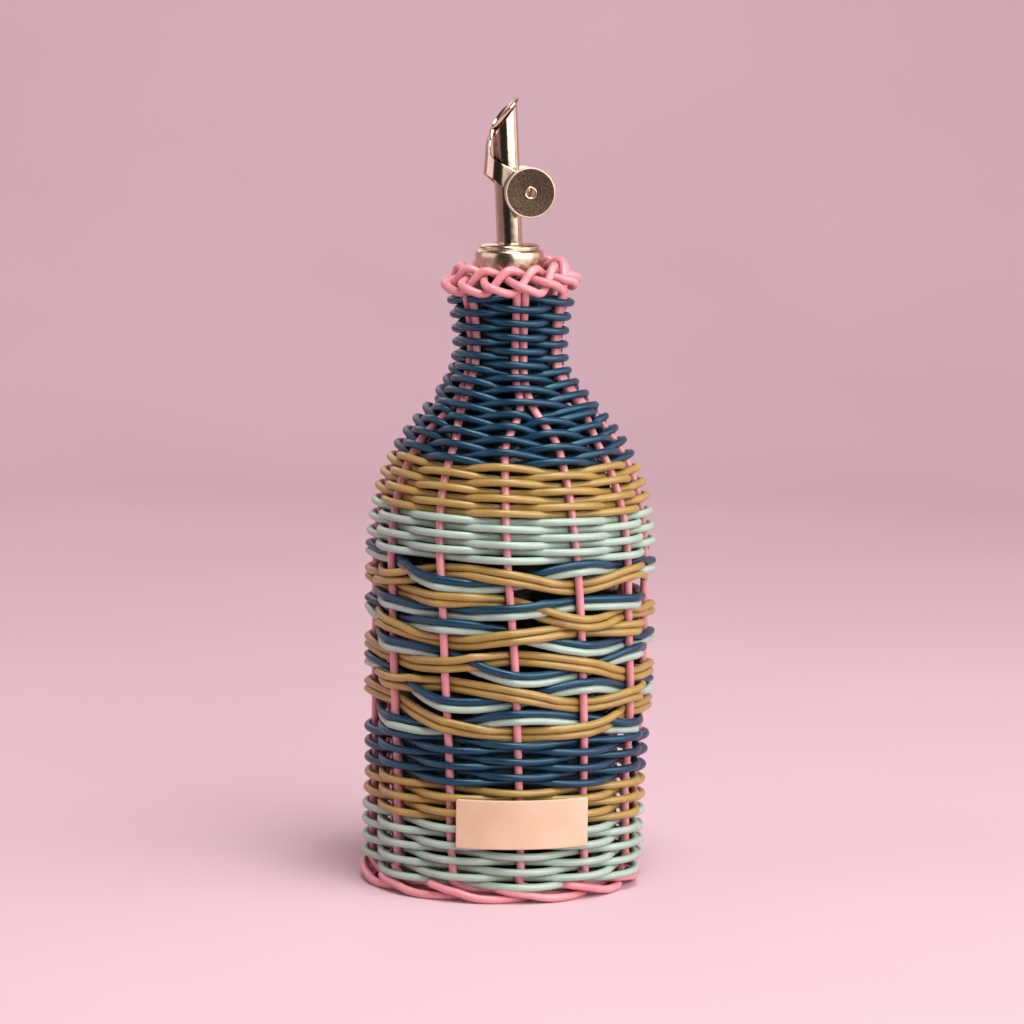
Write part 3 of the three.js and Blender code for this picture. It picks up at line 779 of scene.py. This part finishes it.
# A cane of the band: its place round the cover counted in stakes, and its places along and outside the stake line
def strand(phase, along, side, free, colour=None):
    return {"phase": phase, "along": along, "side": side, "outside": CROSSING * side,
            "free": free, "colour": colour}


def wave_strands():
    strands = []
    for colours, starts_in_front, rows in WAVE_PAIRS:
        every, heights = wave_knots(starts_in_front, rows)
        along = catmull(heights, WAVE_STEPS)
        phase = every[0] + np.arange(len(along)) / WAVE_STEPS
        side = np.cos(np.pi * phase) * (1 if starts_in_front else -1)
        for colour, lift in zip(colours, (WEAVER_RADIUS, -WEAVER_RADIUS)):
            strands.append(strand(phase, along + lift, side, 1.0, colour))
    return strands


# Plain rows next to the wave band, which its canes may not enter
def resting_rows():
    rows = []
    for (start, pitch), number, early in ((foot_start, foot_rows - 1, 0), (foot_start, foot_rows - 2, 0),
                                          (upper_start, 0, WAVE_STEPS), (upper_start, 1, WAVE_STEPS)):
        share = np.arange(-early, WAVE_COLUMNS + WAVE_STEPS - early) / WAVE_COLUMNS
        phase = STAKE_COUNT * (0.5 - share) - WAVE_LEFT_STAKE
        side = np.cos(np.pi * (phase + WAVE_LEFT_STAKE + number % 2))
        rows.append(strand(phase, start + pitch * (number + 2 * share), side, 0.0))
    return rows


# Numbers of the points at each place round the cover, a row for each place, filled up with -1
def point_table(phase):
    columns = np.round(phase * WAVE_STEPS).astype(int) % WAVE_COLUMNS
    table = np.full((WAVE_COLUMNS, np.bincount(columns).max()), -1)
    fill = np.zeros(WAVE_COLUMNS, int)
    for index, column in enumerate(columns):
        table[column, fill[column]] = index
        fill[column] += 1
    return table


# Canes that would share room push each other aside, and stay in front of or behind each stake
def ease_apart(strands):
    every = strands + resting_rows()
    phase, along, outside, side = (np.concatenate([s[key] for s in every])
                                   for key in ("phase", "along", "outside", "side"))
    free = np.concatenate([np.full(len(s["phase"]), s["free"]) for s in every])
    ends = np.cumsum([len(s["phase"]) for s in strands])
    parts = [slice(end - len(s["phase"]), end) for s, end in zip(strands, ends)]
    wanted = along.copy()
    table = point_table(phase)
    present = table >= 0
    points = table[present]
    both = present[:, :, None] & present[:, None, :] & ~np.eye(table.shape[1], dtype=bool)[None]
    stake_gap = np.abs(phase - np.round(phase)) * math.radians(STAKE_PITCH) * WAVE_REACH
    reach = np.sqrt(np.maximum(CROSSING ** 2 - stake_gap ** 2, 0))
    in_front = (stake_gap < CROSSING) & (free > 0) & (side > 0)
    behind = (stake_gap < CROSSING) & (free > 0) & (side < 0)
    for _ in range(EASE_ROUNDS):
        for part in parts:
            for values, weight in zip((along, outside), EASE_STRAIGHTEN):
                cane = values[part]
                cane[1:-1] += weight * (cane[:-2] + cane[2:] - 2 * cane[1:-1])
        gaps = [values[table][:, :, None] - values[table][:, None, :] for values in (along, outside)]
        apart = np.hypot(*gaps) + 1e-6
        push = np.where(both, np.maximum(EASE_ROOM - apart, 0), 0) / 2
        for values, gap, share in zip((along, outside), gaps, EASE_PUSH):
            move = (push * gap / apart).sum(2)[present]
            np.add.at(values, points, share * move * free[points])
        along += free * EASE_RETURN * (wanted - along)
        outside[in_front] = np.maximum(outside[in_front], reach[in_front])
        outside[behind] = np.minimum(outside[behind], -reach[behind])
        outside = np.where(free > 0, np.clip(outside, EASE_INNERMOST, EASE_OUTERMOST), outside)
    for s, part in zip(strands, parts):
        s["along"], s["outside"] = along[part], outside[part]


def wave_band():
    strands = wave_strands()
    ease_apart(strands)
    for colour in ("ochre", "navy", "mint"):
        paths = []
        for s in strands:
            if s["colour"] == colour:
                lean = first_pair_turn(s["along"]) - STAKE_PITCH / 2
                turn = STAKE_PITCH * (s["phase"] + WAVE_LEFT_STAKE) + lean
                paths.append(on_cover(turn, s["along"], s["outside"]))
        piece = canes(f"wave_{colour}_canes", paths, WEAVER_RADIUS, CANE[colour])
        nodes = [f"wave_{colour}_{letter}" for letter in "abcd"[:len(paths)]]
        settle(piece, "bottle", "cane_" + colour, *nodes)


wave_band()


# Mouth border: three canes plaited, one loop that goes round three times
def plait_path():
    share = np.arange(PLAIT_WAVES * PLAIT_STEPS) / (PLAIT_WAVES * PLAIT_STEPS)
    turn = 2 * math.pi * PLAIT_ROUNDS * share
    wave = 2 * math.pi * PLAIT_WAVES * share
    tilt = math.radians(PLAIT_TILT)
    uneven = 1 + sum(size * np.sin(2 * math.pi * waves * share + shift) for size, waves, shift in PLAIT_UNEVEN)
    side = PLAIT_REACH * uneven * np.sin(wave + PLAIT_SKEW * np.sin(2 * wave))
    face = PLAIT_DEPTH * np.sin(2 * wave)
    rise = PLAIT_RISE * (0.5 + 0.5 * np.cos(turn - math.radians(PLAIT_RISE_TURN)))
    reach = PLAIT_RADIUS + side * math.cos(tilt) + face * math.sin(tilt)
    height = PLAIT_HEIGHT + rise - side * math.sin(tilt) + face * math.cos(tilt)
    return round_axis(turn, reach, height, NECK_SWAY)


mouth_border = canes("mouth_border", [plait_path()], PLAIT_CANE, CANE["pink"], 14, True)
settle(mouth_border, "bottle", "cane_pink", "mouth_plait")


# Foot border: each stake's lower end runs behind the next stake, out in front, and under the end after it
def border_path(index):
    route = np.array(BORDER_ROUTE, float)
    sink = 1.0 if index % 2 else BORDER_SINK
    route[BORDER_TURN_OUT:, 2] = BORDER_CANE + (route[BORDER_TURN_OUT:, 2] - BORDER_CANE) * sink
    route[1:, 2] += RNG.uniform(*BORDER_WANDER, len(route) - 1) * (route[1:, 2] > BORDER_LEVEL)
    turn, outside, height = (catmull(column, BORDER_STEPS) for column in route.T)
    along = along_at(np.maximum(height, BORDER_CANE))
    return on_cover(foot_turn(index) + turn, along, outside) + np.array([BORDER_SWAY * MM, 0, 0])


border_paths = [border_path(i) for i in range(STAKE_COUNT)]
foot_border = canes("foot_border_canes", border_paths, BORDER_CANE, CANE["pink"], 12)
settle(foot_border, "bottle", "cane_pink", "foot_border")


# Mat under the bottle: spokes with a flat spiral woven through them
def mat_paths():
    turns = [math.radians(foot_turn(index)) for index in range(STAKE_COUNT)]
    spokes = [round_axis(turn, np.linspace(*MAT_SPOKE, 12), MAT_HEIGHT) for turn in turns]
    rounds = (MAT_RADIUS - MAT_MIDDLE) / MAT_PITCH
    turn = np.linspace(0, rounds * 2 * math.pi, int(rounds * MAT_STEPS))
    coil = np.floor(turn / (2 * math.pi))
    height = MAT_HEIGHT + MAT_SWING * np.cos(STAKE_COUNT / 2 * (turn - turns[0]) + math.pi * coil)
    return spokes + [round_axis(turn, MAT_MIDDLE + MAT_PITCH * turn / (2 * math.pi), height)]


foot_mat = canes("foot_mat_canes", mat_paths(), MAT_CANE, CANE["pink"], 8)
settle(foot_mat, "bottle", "cane_pink", "foot_mat")


# Leather tag: a strip with rounded corners, bent round the cover
def leather_tag():
    half_height = TAG_HEIGHT / 2
    across = np.linspace(-half_height, half_height, TAG_ROWS)[:, None]
    into_corner = np.maximum(0, np.abs(across) - (half_height - TAG_CORNER))
    half_width = TAG_WIDTH / 2 - TAG_CORNER + np.sqrt(np.maximum(TAG_CORNER ** 2 - into_corner ** 2, 0))
    turn = math.radians(TAG_TURN) + half_width * np.linspace(-1, 1, TAG_COLUMNS) / TAG_INNER_RADIUS
    vertices = np.vstack([round_axis(turn, reach, TAG_MIDDLE_HEIGHT + across).reshape(-1, 3)
                          for reach in (TAG_INNER_RADIUS, TAG_INNER_RADIUS + TAG_THICKNESS)])
    size = TAG_ROWS * TAG_COLUMNS
    layer = grid_faces(TAG_ROWS, TAG_COLUMNS)
    numbers = np.arange(size).reshape(TAG_ROWS, TAG_COLUMNS)
    rim = np.concatenate([numbers[0], numbers[1:, -1], numbers[-1, -2::-1], numbers[-2:0:-1, 0]]).tolist()
    faces = layer + flipped(layer, size) + [(a, b, size + b, size + a) for a, b in zip(rim, rim[1:] + rim[:1])]
    piece = new_object("tag", vertices, faces, natural_leather)
    clean(piece)
    soften_edges(piece, TAG_EDGE, 3)
    piece = make_plain(piece)
    smooth(piece, 60)
    return piece


settle(leather_tag(), "bottle", "leather", "leather_tag")


# Glass bottle: up the outside from the middle of the foot, over the lip and down the inside
def bottle_outline():
    height = GLASS_LINE[:, 1]
    shoulder = GLASS_LINE[(height > GLASS_SHOULDER_HEIGHT - 2) & (height < GLASS_NECK_HEIGHT + 1)]
    lip_foot = BOTTLE_HEIGHT - GLASS_LIP_HEIGHT
    bore = GLASS_NECK_RADIUS - GLASS_WALL
    inside = GLASS_BODY_RADIUS - GLASS_WALL
    floor = BOTTLE_FOOT + GLASS_FLOOR
    outline = [(0, BOTTLE_FOOT + 1.2), (GLASS_BODY_RADIUS - 10, BOTTLE_FOOT + 0.6)]
    outline += rounded([(GLASS_BODY_RADIUS - 6, BOTTLE_FOOT), (GLASS_BODY_RADIUS, BOTTLE_FOOT),
                        (GLASS_BODY_RADIUS, BOTTLE_FOOT + 8)], GLASS_FOOT_CORNER, 6)[5:14]
    outline += list(shoulder)
    outline += rounded([(GLASS_NECK_RADIUS, lip_foot - GLASS_LIP_RUN), (GLASS_LIP_RADIUS, lip_foot),
                        (GLASS_LIP_RADIUS, BOTTLE_HEIGHT), (bore, BOTTLE_HEIGHT),
                        (bore, lip_foot - GLASS_LIP_RUN)], GLASS_LIP_CORNER)
    outline += list(moved_out(shoulder, -GLASS_WALL)[::-1])
    outline += [(inside, floor + 5), (inside - 1.4, floor + 1.6), (inside - 5, floor), (0, floor + 0.5)]
    return outline


settle(turned("shade_tinted_glass", bottle_outline(), 96, shade_tinted_glass), "bottle", "glass", "glass_bottle")


# Pourer: pieces that lean with the spout are made upright, with the collar's top at height 0
LEAN = (Matrix.Translation((0, 0, COLLAR_TOP * MM)) @ Matrix.Rotation(math.radians(POUR_TURN), 4, "Z")
        @ Matrix.Rotation(-math.radians(SPOUT_LEAN), 4, "Y"))


def sideways(x, z, side):
    return LEAN @ Matrix.Translation((x * MM, 0, z * MM)) @ Matrix.Rotation(side * math.pi / 2, 4, "X")


def mouth_height(x, offset=0.0):
    slope = 1 / math.tan(math.radians(MOUTH_SLANT))
    return SPOUT_HEIGHT + (x - SPOUT_RADIUS) * slope + offset / math.sin(math.radians(MOUTH_SLANT))


# Spout: heights are counted from the slanted mouth, and None is the foot
SPOUT_OUTLINE = [(SPOUT_RADIUS, None), (SPOUT_RADIUS, -SPOUT_RIM), (SPOUT_RADIUS, -SPOUT_EDGE),
                 (SPOUT_RADIUS - SPOUT_EDGE, 0), (SPOUT_BORE + SPOUT_EDGE, 0), (SPOUT_BORE, -SPOUT_EDGE),
                 (SPOUT_BORE, -SPOUT_RIM), (SPOUT_BORE, None)]


def spout_level(x, drop):
    return SPOUT_FOOT if drop is None else mouth_height(x) + drop


spout = turned("spout", SPOUT_OUTLINE, 96, polished_steel, LEAN, 35, spout_level)
settle(spout, "pourer", "steel", "spout_tube")


def collar_outline():
    step, top = COLLAR_FOOT + COLLAR_SKIRT, COLLAR_TOP
    hole = SPOUT_RADIUS + FIT_GAP
    inner = COLLAR_RADIUS - COLLAR_WALL
    ledge = COLLAR_STEP_RADIUS
    outline = rounded([(inner, COLLAR_FOOT), (COLLAR_RADIUS, COLLAR_FOOT), (COLLAR_RADIUS, step - 3)],
                      COLLAR_CORNER)[:-5]
    outline += list(quadratic((COLLAR_RADIUS, step - 2.6), (COLLAR_RADIUS, step - 0.3), (ledge + 0.3, step)))
    outline += list(quadratic((ledge + 0.1, step + 0.05), (ledge - 0.35, step + 0.3), (ledge, step + 0.6), 6))
    outline += list(quadratic((ledge + 0.05, top - 1.3), (ledge - 0.1, top - 0.1), (hole + 1.4, top + 0.1), 14))
    outline += [(hole + 0.1, top + 0.1), (hole, top), (hole, top - COLLAR_WALL),
                (ledge - COLLAR_WALL - 0.6, top - COLLAR_WALL), (ledge - COLLAR_WALL, step - COLLAR_WALL),
                (inner - 0.2, step - COLLAR_WALL - 1.2), (inner, step - COLLAR_WALL - 2.2)]
    return outline


settle(turned("collar", collar_outline(), 96, satin_steel), "pourer", "steel", "collar_cap")


def stopper_outline():
    foot = COLLAR_FOOT - STOPPER_LENGTH
    pitch = STOPPER_LENGTH / (STOPPER_RIBS + 0.5)
    head = COLLAR_RADIUS - COLLAR_WALL - FIT_GAP
    head_top = COLLAR_FOOT + COLLAR_SKIRT - COLLAR_WALL - 1.2 - FIT_GAP
    bore = SPOUT_RADIUS + FIT_GAP
    start, full, end = STOPPER_RIB_SHARES
    outline = [(bore, foot), (STOPPER_CORE_RADIUS - 1, foot)]
    for rib in range(STOPPER_RIBS):
        low = foot + pitch * (rib + start)
        outline += [(STOPPER_CORE_RADIUS, low), (STOPPER_RIB_RADIUS, low + full * pitch),
                    (STOPPER_RIB_RADIUS, low + end * pitch)]
    outline += [(STOPPER_CORE_RADIUS, COLLAR_FOOT - 0.6), (STOPPER_CORE_RADIUS, COLLAR_FOOT),
                (head, COLLAR_FOOT), (head, head_top), (bore, head_top)]
    return rounded(outline, COLLAR_CORNER, 3)


# The stopper stands upright, and its bore leans with the spout
def leaning_stopper():
    piece = turned("stopper_plug", stopper_outline(), 64, dark_elastomer)
    shear = math.tan(math.radians(SPOUT_LEAN))
    turn = math.radians(POUR_TURN)
    for vertex in piece.data.vertices:
        if math.hypot(vertex.co.x, vertex.co.y) < (SPOUT_RADIUS + 1) * MM:
            drop = COLLAR_TOP * MM - vertex.co.z
            vertex.co.x += drop * shear * math.cos(turn)
            vertex.co.y += drop * shear * math.sin(turn)
    piece.data.update()
    return piece


settle(leaning_stopper(), "pourer", "elastomer", "stopper")


# Flap: the side view's upper and lower edges, in the spout's upright frame
MOUTH_LOW = mouth_height(-SPOUT_RADIUS)


def ear_arc(start):
    turn = np.linspace(start, 0.0, 30)
    return (WEIGHT_SETBACK, WEIGHT_HEIGHT) + EAR_RADIUS * np.stack([np.cos(turn), np.sin(turn)], 1)


def flap_edges():
    upper = FLAP_UPPER + (0, MOUTH_LOW)
    back = [(FLAP_BACK, upper[0, 1])]
    neck = np.stack([catmull(column, 6) for column in upper.T], 1)
    lower = FLAP_LOWER + (0, PIVOT_HEIGHT)
    bend = quadratic(*(FLAP_LOWER_BEND + (0, PIVOT_HEIGHT)))
    return np.vstack([back, neck, ear_arc(2.09)]), np.vstack([lower, bend, ear_arc(-2.5)])


def channel_offset(height):
    bend = SHROUD_BEND * smoothstep(MOUTH_LOW + 1 - height, 0, SHROUD_BEND_LENGTH)
    return SPOUT_RADIUS + FIT_GAP - SHROUD_RADIUS + bend


# The flap's sheet is laid out along its own leaning channel and then put back
def in_channel(points):
    turn = math.radians(FLAP_LEAN)
    x = points[:, 0] + channel_offset(points[:, 1])
    z = points[:, 1] - MOUTH_LOW
    return np.stack([x * math.cos(turn) - z * math.sin(turn), x * math.sin(turn) + z * math.cos(turn)], 1)


def out_of_channel(x, y, z):
    turn = math.radians(FLAP_LEAN)
    height = -x * math.sin(turn) + z * math.cos(turn) + MOUTH_LOW
    return x * math.cos(turn) + z * math.sin(turn) - channel_offset(height), y, height


def flap_sheet():
    upper, lower = (in_channel(edge) for edge in flap_edges())
    middle = SHROUD_RADIUS + SHEET / 2
    far = min(upper[-1, 0], lower[-1, 0])
    arm = far * (1 - (1 - np.linspace(0, 1, ARM_STEPS)) ** ARM_CROWDING)
    section = [(x, -middle) for x in arm[::-1]]
    section += [(-middle * math.sin(t), -middle * math.cos(t)) for t in np.linspace(0, math.pi, 73)[1:-1]]
    section += [(x, middle) for x in arm]
    vertices = []
    for x, y in section:
        low, high = (np.interp(x, *edge.T) for edge in (lower, upper))
        for row in range(FLAP_ROWS):
            z = low + (high - low) * row / (FLAP_ROWS - 1)
            vertices.append([c * MM for c in out_of_channel(x, y, z)])
    return vertices, flipped(grid_faces(len(section), FLAP_ROWS))


# Lid: a round sheet on the slanted mouth, with its rim turned up except in front
def lid_sheet():
    reach = SPOUT_RADIUS + LID_OVERHANG
    middle = FIT_GAP + SHEET / 2
    vertices = [(0, 0, mouth_height(0, middle) * MM)]
    for share in np.arange(1, LID_RINGS + 1) / LID_RINGS:
        for turn in 2 * math.pi * np.arange(LID_SPOKES) / LID_SPOKES:
            x, y = reach * share * math.cos(turn), reach * share * math.sin(turn)
            lift = LID_LIFT * max(0.0, (share - LID_RIM) / (1 - LID_RIM)) ** 2
            lift *= 1 - smoothstep(math.cos(turn), -0.1, 1.0)
            vertices.append((x * MM, y * MM, mouth_height(x, middle + lift) * MM))
    faces = [(0, 1 + spoke, 1 + (spoke + 1) % LID_SPOKES) for spoke in range(LID_SPOKES)]
    faces += [[1 + corner for corner in face] for face in grid_faces(LID_RINGS, LID_SPOKES, False, True)]
    return vertices, faces


def thickened(name, vertices, faces):
    piece = new_object(name, placed(vertices, LEAN), faces, polished_steel)
    clean(piece)
    wall = piece.modifiers.new("sheet", "SOLIDIFY")
    wall.thickness = SHEET * MM
    wall.offset = 0
    soften_edges(piece, SHEET_EDGE, 2)
    return make_plain(piece)


def join(name, pieces):
    bpy.ops.object.select_all(action="DESELECT")
    for piece in pieces:
        piece.select_set(True)
    bpy.context.view_layer.objects.active = pieces[0]
    bpy.ops.object.join()
    pieces[0].name = name
    pieces[0].select_set(False)
    return pieces[0]


# Round holes through both ears for the rivets
def drilled(piece):
    bore = RIVET_RADIUS + 0.1
    outline = [(0, -DRILL_REACH), (bore, -DRILL_REACH), (bore, DRILL_REACH), (0, DRILL_REACH)]
    drill = turned("drill", outline, 32, polished_steel, sideways(WEIGHT_SETBACK, WEIGHT_HEIGHT, 1))
    hole = piece.modifiers.new("holes", "BOOLEAN")
    hole.operation = "DIFFERENCE"
    hole.solver = "EXACT"
    hole.object = drill
    plain = make_plain(piece)
    bpy.data.objects.remove(drill)
    return plain


flap = join("flap_sheet", [drilled(thickened("shroud", *flap_sheet())), thickened("lid", *lid_sheet())])
smooth(flap, 40)
settle(flap, "flap", "steel", "flap")


# Weights, rivets and pivot studs on both sides
WEIGHT_OUTLINE = rounded([(RIVET_RADIUS + 0.2, WEIGHT_FOOT), (WEIGHT_RADIUS, WEIGHT_FOOT),
                          (WEIGHT_RADIUS, WEIGHT_TOP), (WEIGHT_RADIUS - WEIGHT_RIM, WEIGHT_TOP),
                          (WEIGHT_RADIUS - WEIGHT_RIM - 0.2, WEIGHT_TOP - WEIGHT_SINK),
                          (RIVET_RADIUS + 0.2, WEIGHT_TOP - WEIGHT_SINK)], WEIGHT_CORNER)
RIVET_OUTLINE = rounded([(RIVET_BORE, SHROUD_RADIUS - FIT_GAP - RIVET_HEAD),
                         (RIVET_FLANGE, SHROUD_RADIUS - FIT_GAP - RIVET_HEAD),
                         (RIVET_FLANGE, SHROUD_RADIUS - RIVET_SEAT), (RIVET_RADIUS, SHROUD_RADIUS - RIVET_SEAT),
                         (RIVET_RADIUS, WEIGHT_TOP - RIVET_SEAT), (RIVET_FLANGE, WEIGHT_TOP - RIVET_SEAT),
                         (RIVET_FLANGE, WEIGHT_TOP + 0.5), (RIVET_BORE, WEIGHT_TOP + 0.5)], WEIGHT_CORNER)
STUD_OUTLINE = [(0, SPOUT_RADIUS - PIVOT_DEPTH), (PIVOT_RADIUS, SPOUT_RADIUS - PIVOT_DEPTH),
                (PIVOT_RADIUS, EAR_OUTER), (0, EAR_OUTER)]


def mark_rim(piece, matrix):
    upright = matrix.inverted()
    rim = piece.data.attributes.new("rim", "FLOAT", "POINT")
    for vertex, value in zip(piece.data.vertices, rim.data):
        place = upright @ vertex.co
        value.value = 1.0 if math.hypot(place.x, place.y) > (WEIGHT_RADIUS - WEIGHT_RIM) * MM else 0.0


for label, side in (("front", 1), ("back", -1)):
    on_ear, on_pivot = sideways(WEIGHT_SETBACK, WEIGHT_HEIGHT, side), sideways(0, PIVOT_HEIGHT, side)
    weight = turned("weight_" + label + "_disc", WEIGHT_OUTLINE, 96, tumbled_steel, on_ear)
    mark_rim(weight, on_ear)
    settle(weight, "flap", "weight", "weight_" + label)
    rivet = turned("rivet_" + label + "_eyelet", RIVET_OUTLINE, 48, polished_steel, on_ear)
    settle(rivet, "flap", "steel", "rivet_" + label)
    stud = turned("pivot_stud_" + label + "_pin", STUD_OUTLINE, 32, polished_steel, on_pivot)
    settle(stud, "pourer", "steel", "pivot_stud_" + label)


# Stage: a pale round floor that sweeps up into a wall; the part in front is left out of reflections
def stage_part(name, material, in_front):
    sweep = np.linspace(0, math.pi / 2, 16)
    reach = np.concatenate([[0], FLOOR_RADIUS + SWEEP_RADIUS * np.sin(sweep), [FLOOR_RADIUS + SWEEP_RADIUS]])
    height = np.concatenate([[0], SWEEP_RADIUS * (1 - np.cos(sweep)), [WALL_HEIGHT]])
    turns = np.linspace(-180, 180, STAGE_SEGMENTS + 1)
    vertices = round_axis(np.radians(turns)[:, None], reach, height) + (0, FLOOR_MIDDLE * MM, 0)
    faces = [face for face in flipped(grid_faces(len(turns), len(reach)))
             if (FRONT_PART[0] <= turns[face[0] // len(reach)] < FRONT_PART[1]) == in_front]
    piece = new_object(name, vertices.reshape(-1, 3), faces, material)
    clean(piece)
    piece.data.shade_smooth()
    piece.visible_glossy = not in_front
    piece.visible_diffuse = not in_front


# The floor is darker under the key lamp, so that it looks as even as the rest
def backdrop():
    material = finish("pale backdrop", ((0.62, 0.44, 0.50), (0.67, 0.48, 0.545)), (3, 3),
                      settings={"Roughness": 0.9})
    tree = material.node_tree
    away = tree.nodes.new("ShaderNodeVectorMath")
    away.operation = "DISTANCE"
    away.inputs[1].default_value = KEY_SPOT
    tree.links.new(tree.nodes.new("ShaderNodeTexCoord").outputs["Object"], away.inputs[0])
    near_key = tree.nodes.new("ShaderNodeMapRange")
    near_key.interpolation_type = "SMOOTHSTEP"
    set_sockets(near_key, {"From Min": KEY_SPOT_EDGE, "From Max": KEY_SPOT_CORE, "To Min": 0.0, "To Max": 1.0})
    tree.links.new(away.outputs["Value"], near_key.inputs["Value"])
    lay_over(material, near_key.outputs["Result"], (0.25, 0.175, 0.20))
    stage_part("backdrop", material, False)
    stage_part("backdrop_front", material, True)


backdrop()


def area_light(name, place, aim, size, power, colour):
    data = bpy.data.lights.new(name, "AREA")
    data.shape = "RECTANGLE"
    data.size, data.size_y = size
    data.energy = power
    data.color = colour
    light = bpy.data.objects.new(name, data)
    light.location = place
    light.rotation_euler = (Vector(aim) - Vector(place)).to_track_quat("-Z", "Y").to_euler()
    light.visible_camera = False
    bpy.context.scene.collection.objects.link(light)


for lamp in LAMPS:
    area_light(*lamp)

world = bpy.data.worlds.new("studio")
bpy.context.scene.world = world
world.use_nodes = True
set_sockets(world.node_tree.nodes["Background"], {"Color": WORLD_COLOUR, "Strength": WORLD_STRENGTH})


# Camera at the photograph's place
def photo_camera():
    pitch, roll = math.radians(CAMERA_PITCH), math.radians(CAMERA_ROLL)
    right, up = Vector((1, 0, 0)), Vector((0, math.sin(pitch), math.cos(pitch)))
    back = right.cross(up)
    turned_right = math.cos(roll) * right + math.sin(roll) * up
    turned_up = -math.sin(roll) * right + math.cos(roll) * up
    data = bpy.data.cameras.new("camera")
    data.sensor_width = 36.0
    data.lens = CAMERA_LENS
    data.clip_end = 50.0
    camera = bpy.data.objects.new("camera", data)
    basis = Matrix((turned_right, turned_up, back)).transposed().to_4x4()
    camera.matrix_world = Matrix.Translation(Vector(CAMERA_PLACE) * MM) @ basis
    bpy.context.scene.collection.objects.link(camera)
    bpy.context.scene.camera = camera


photo_camera()
bpy.context.scene.view_settings.view_transform = "Standard"
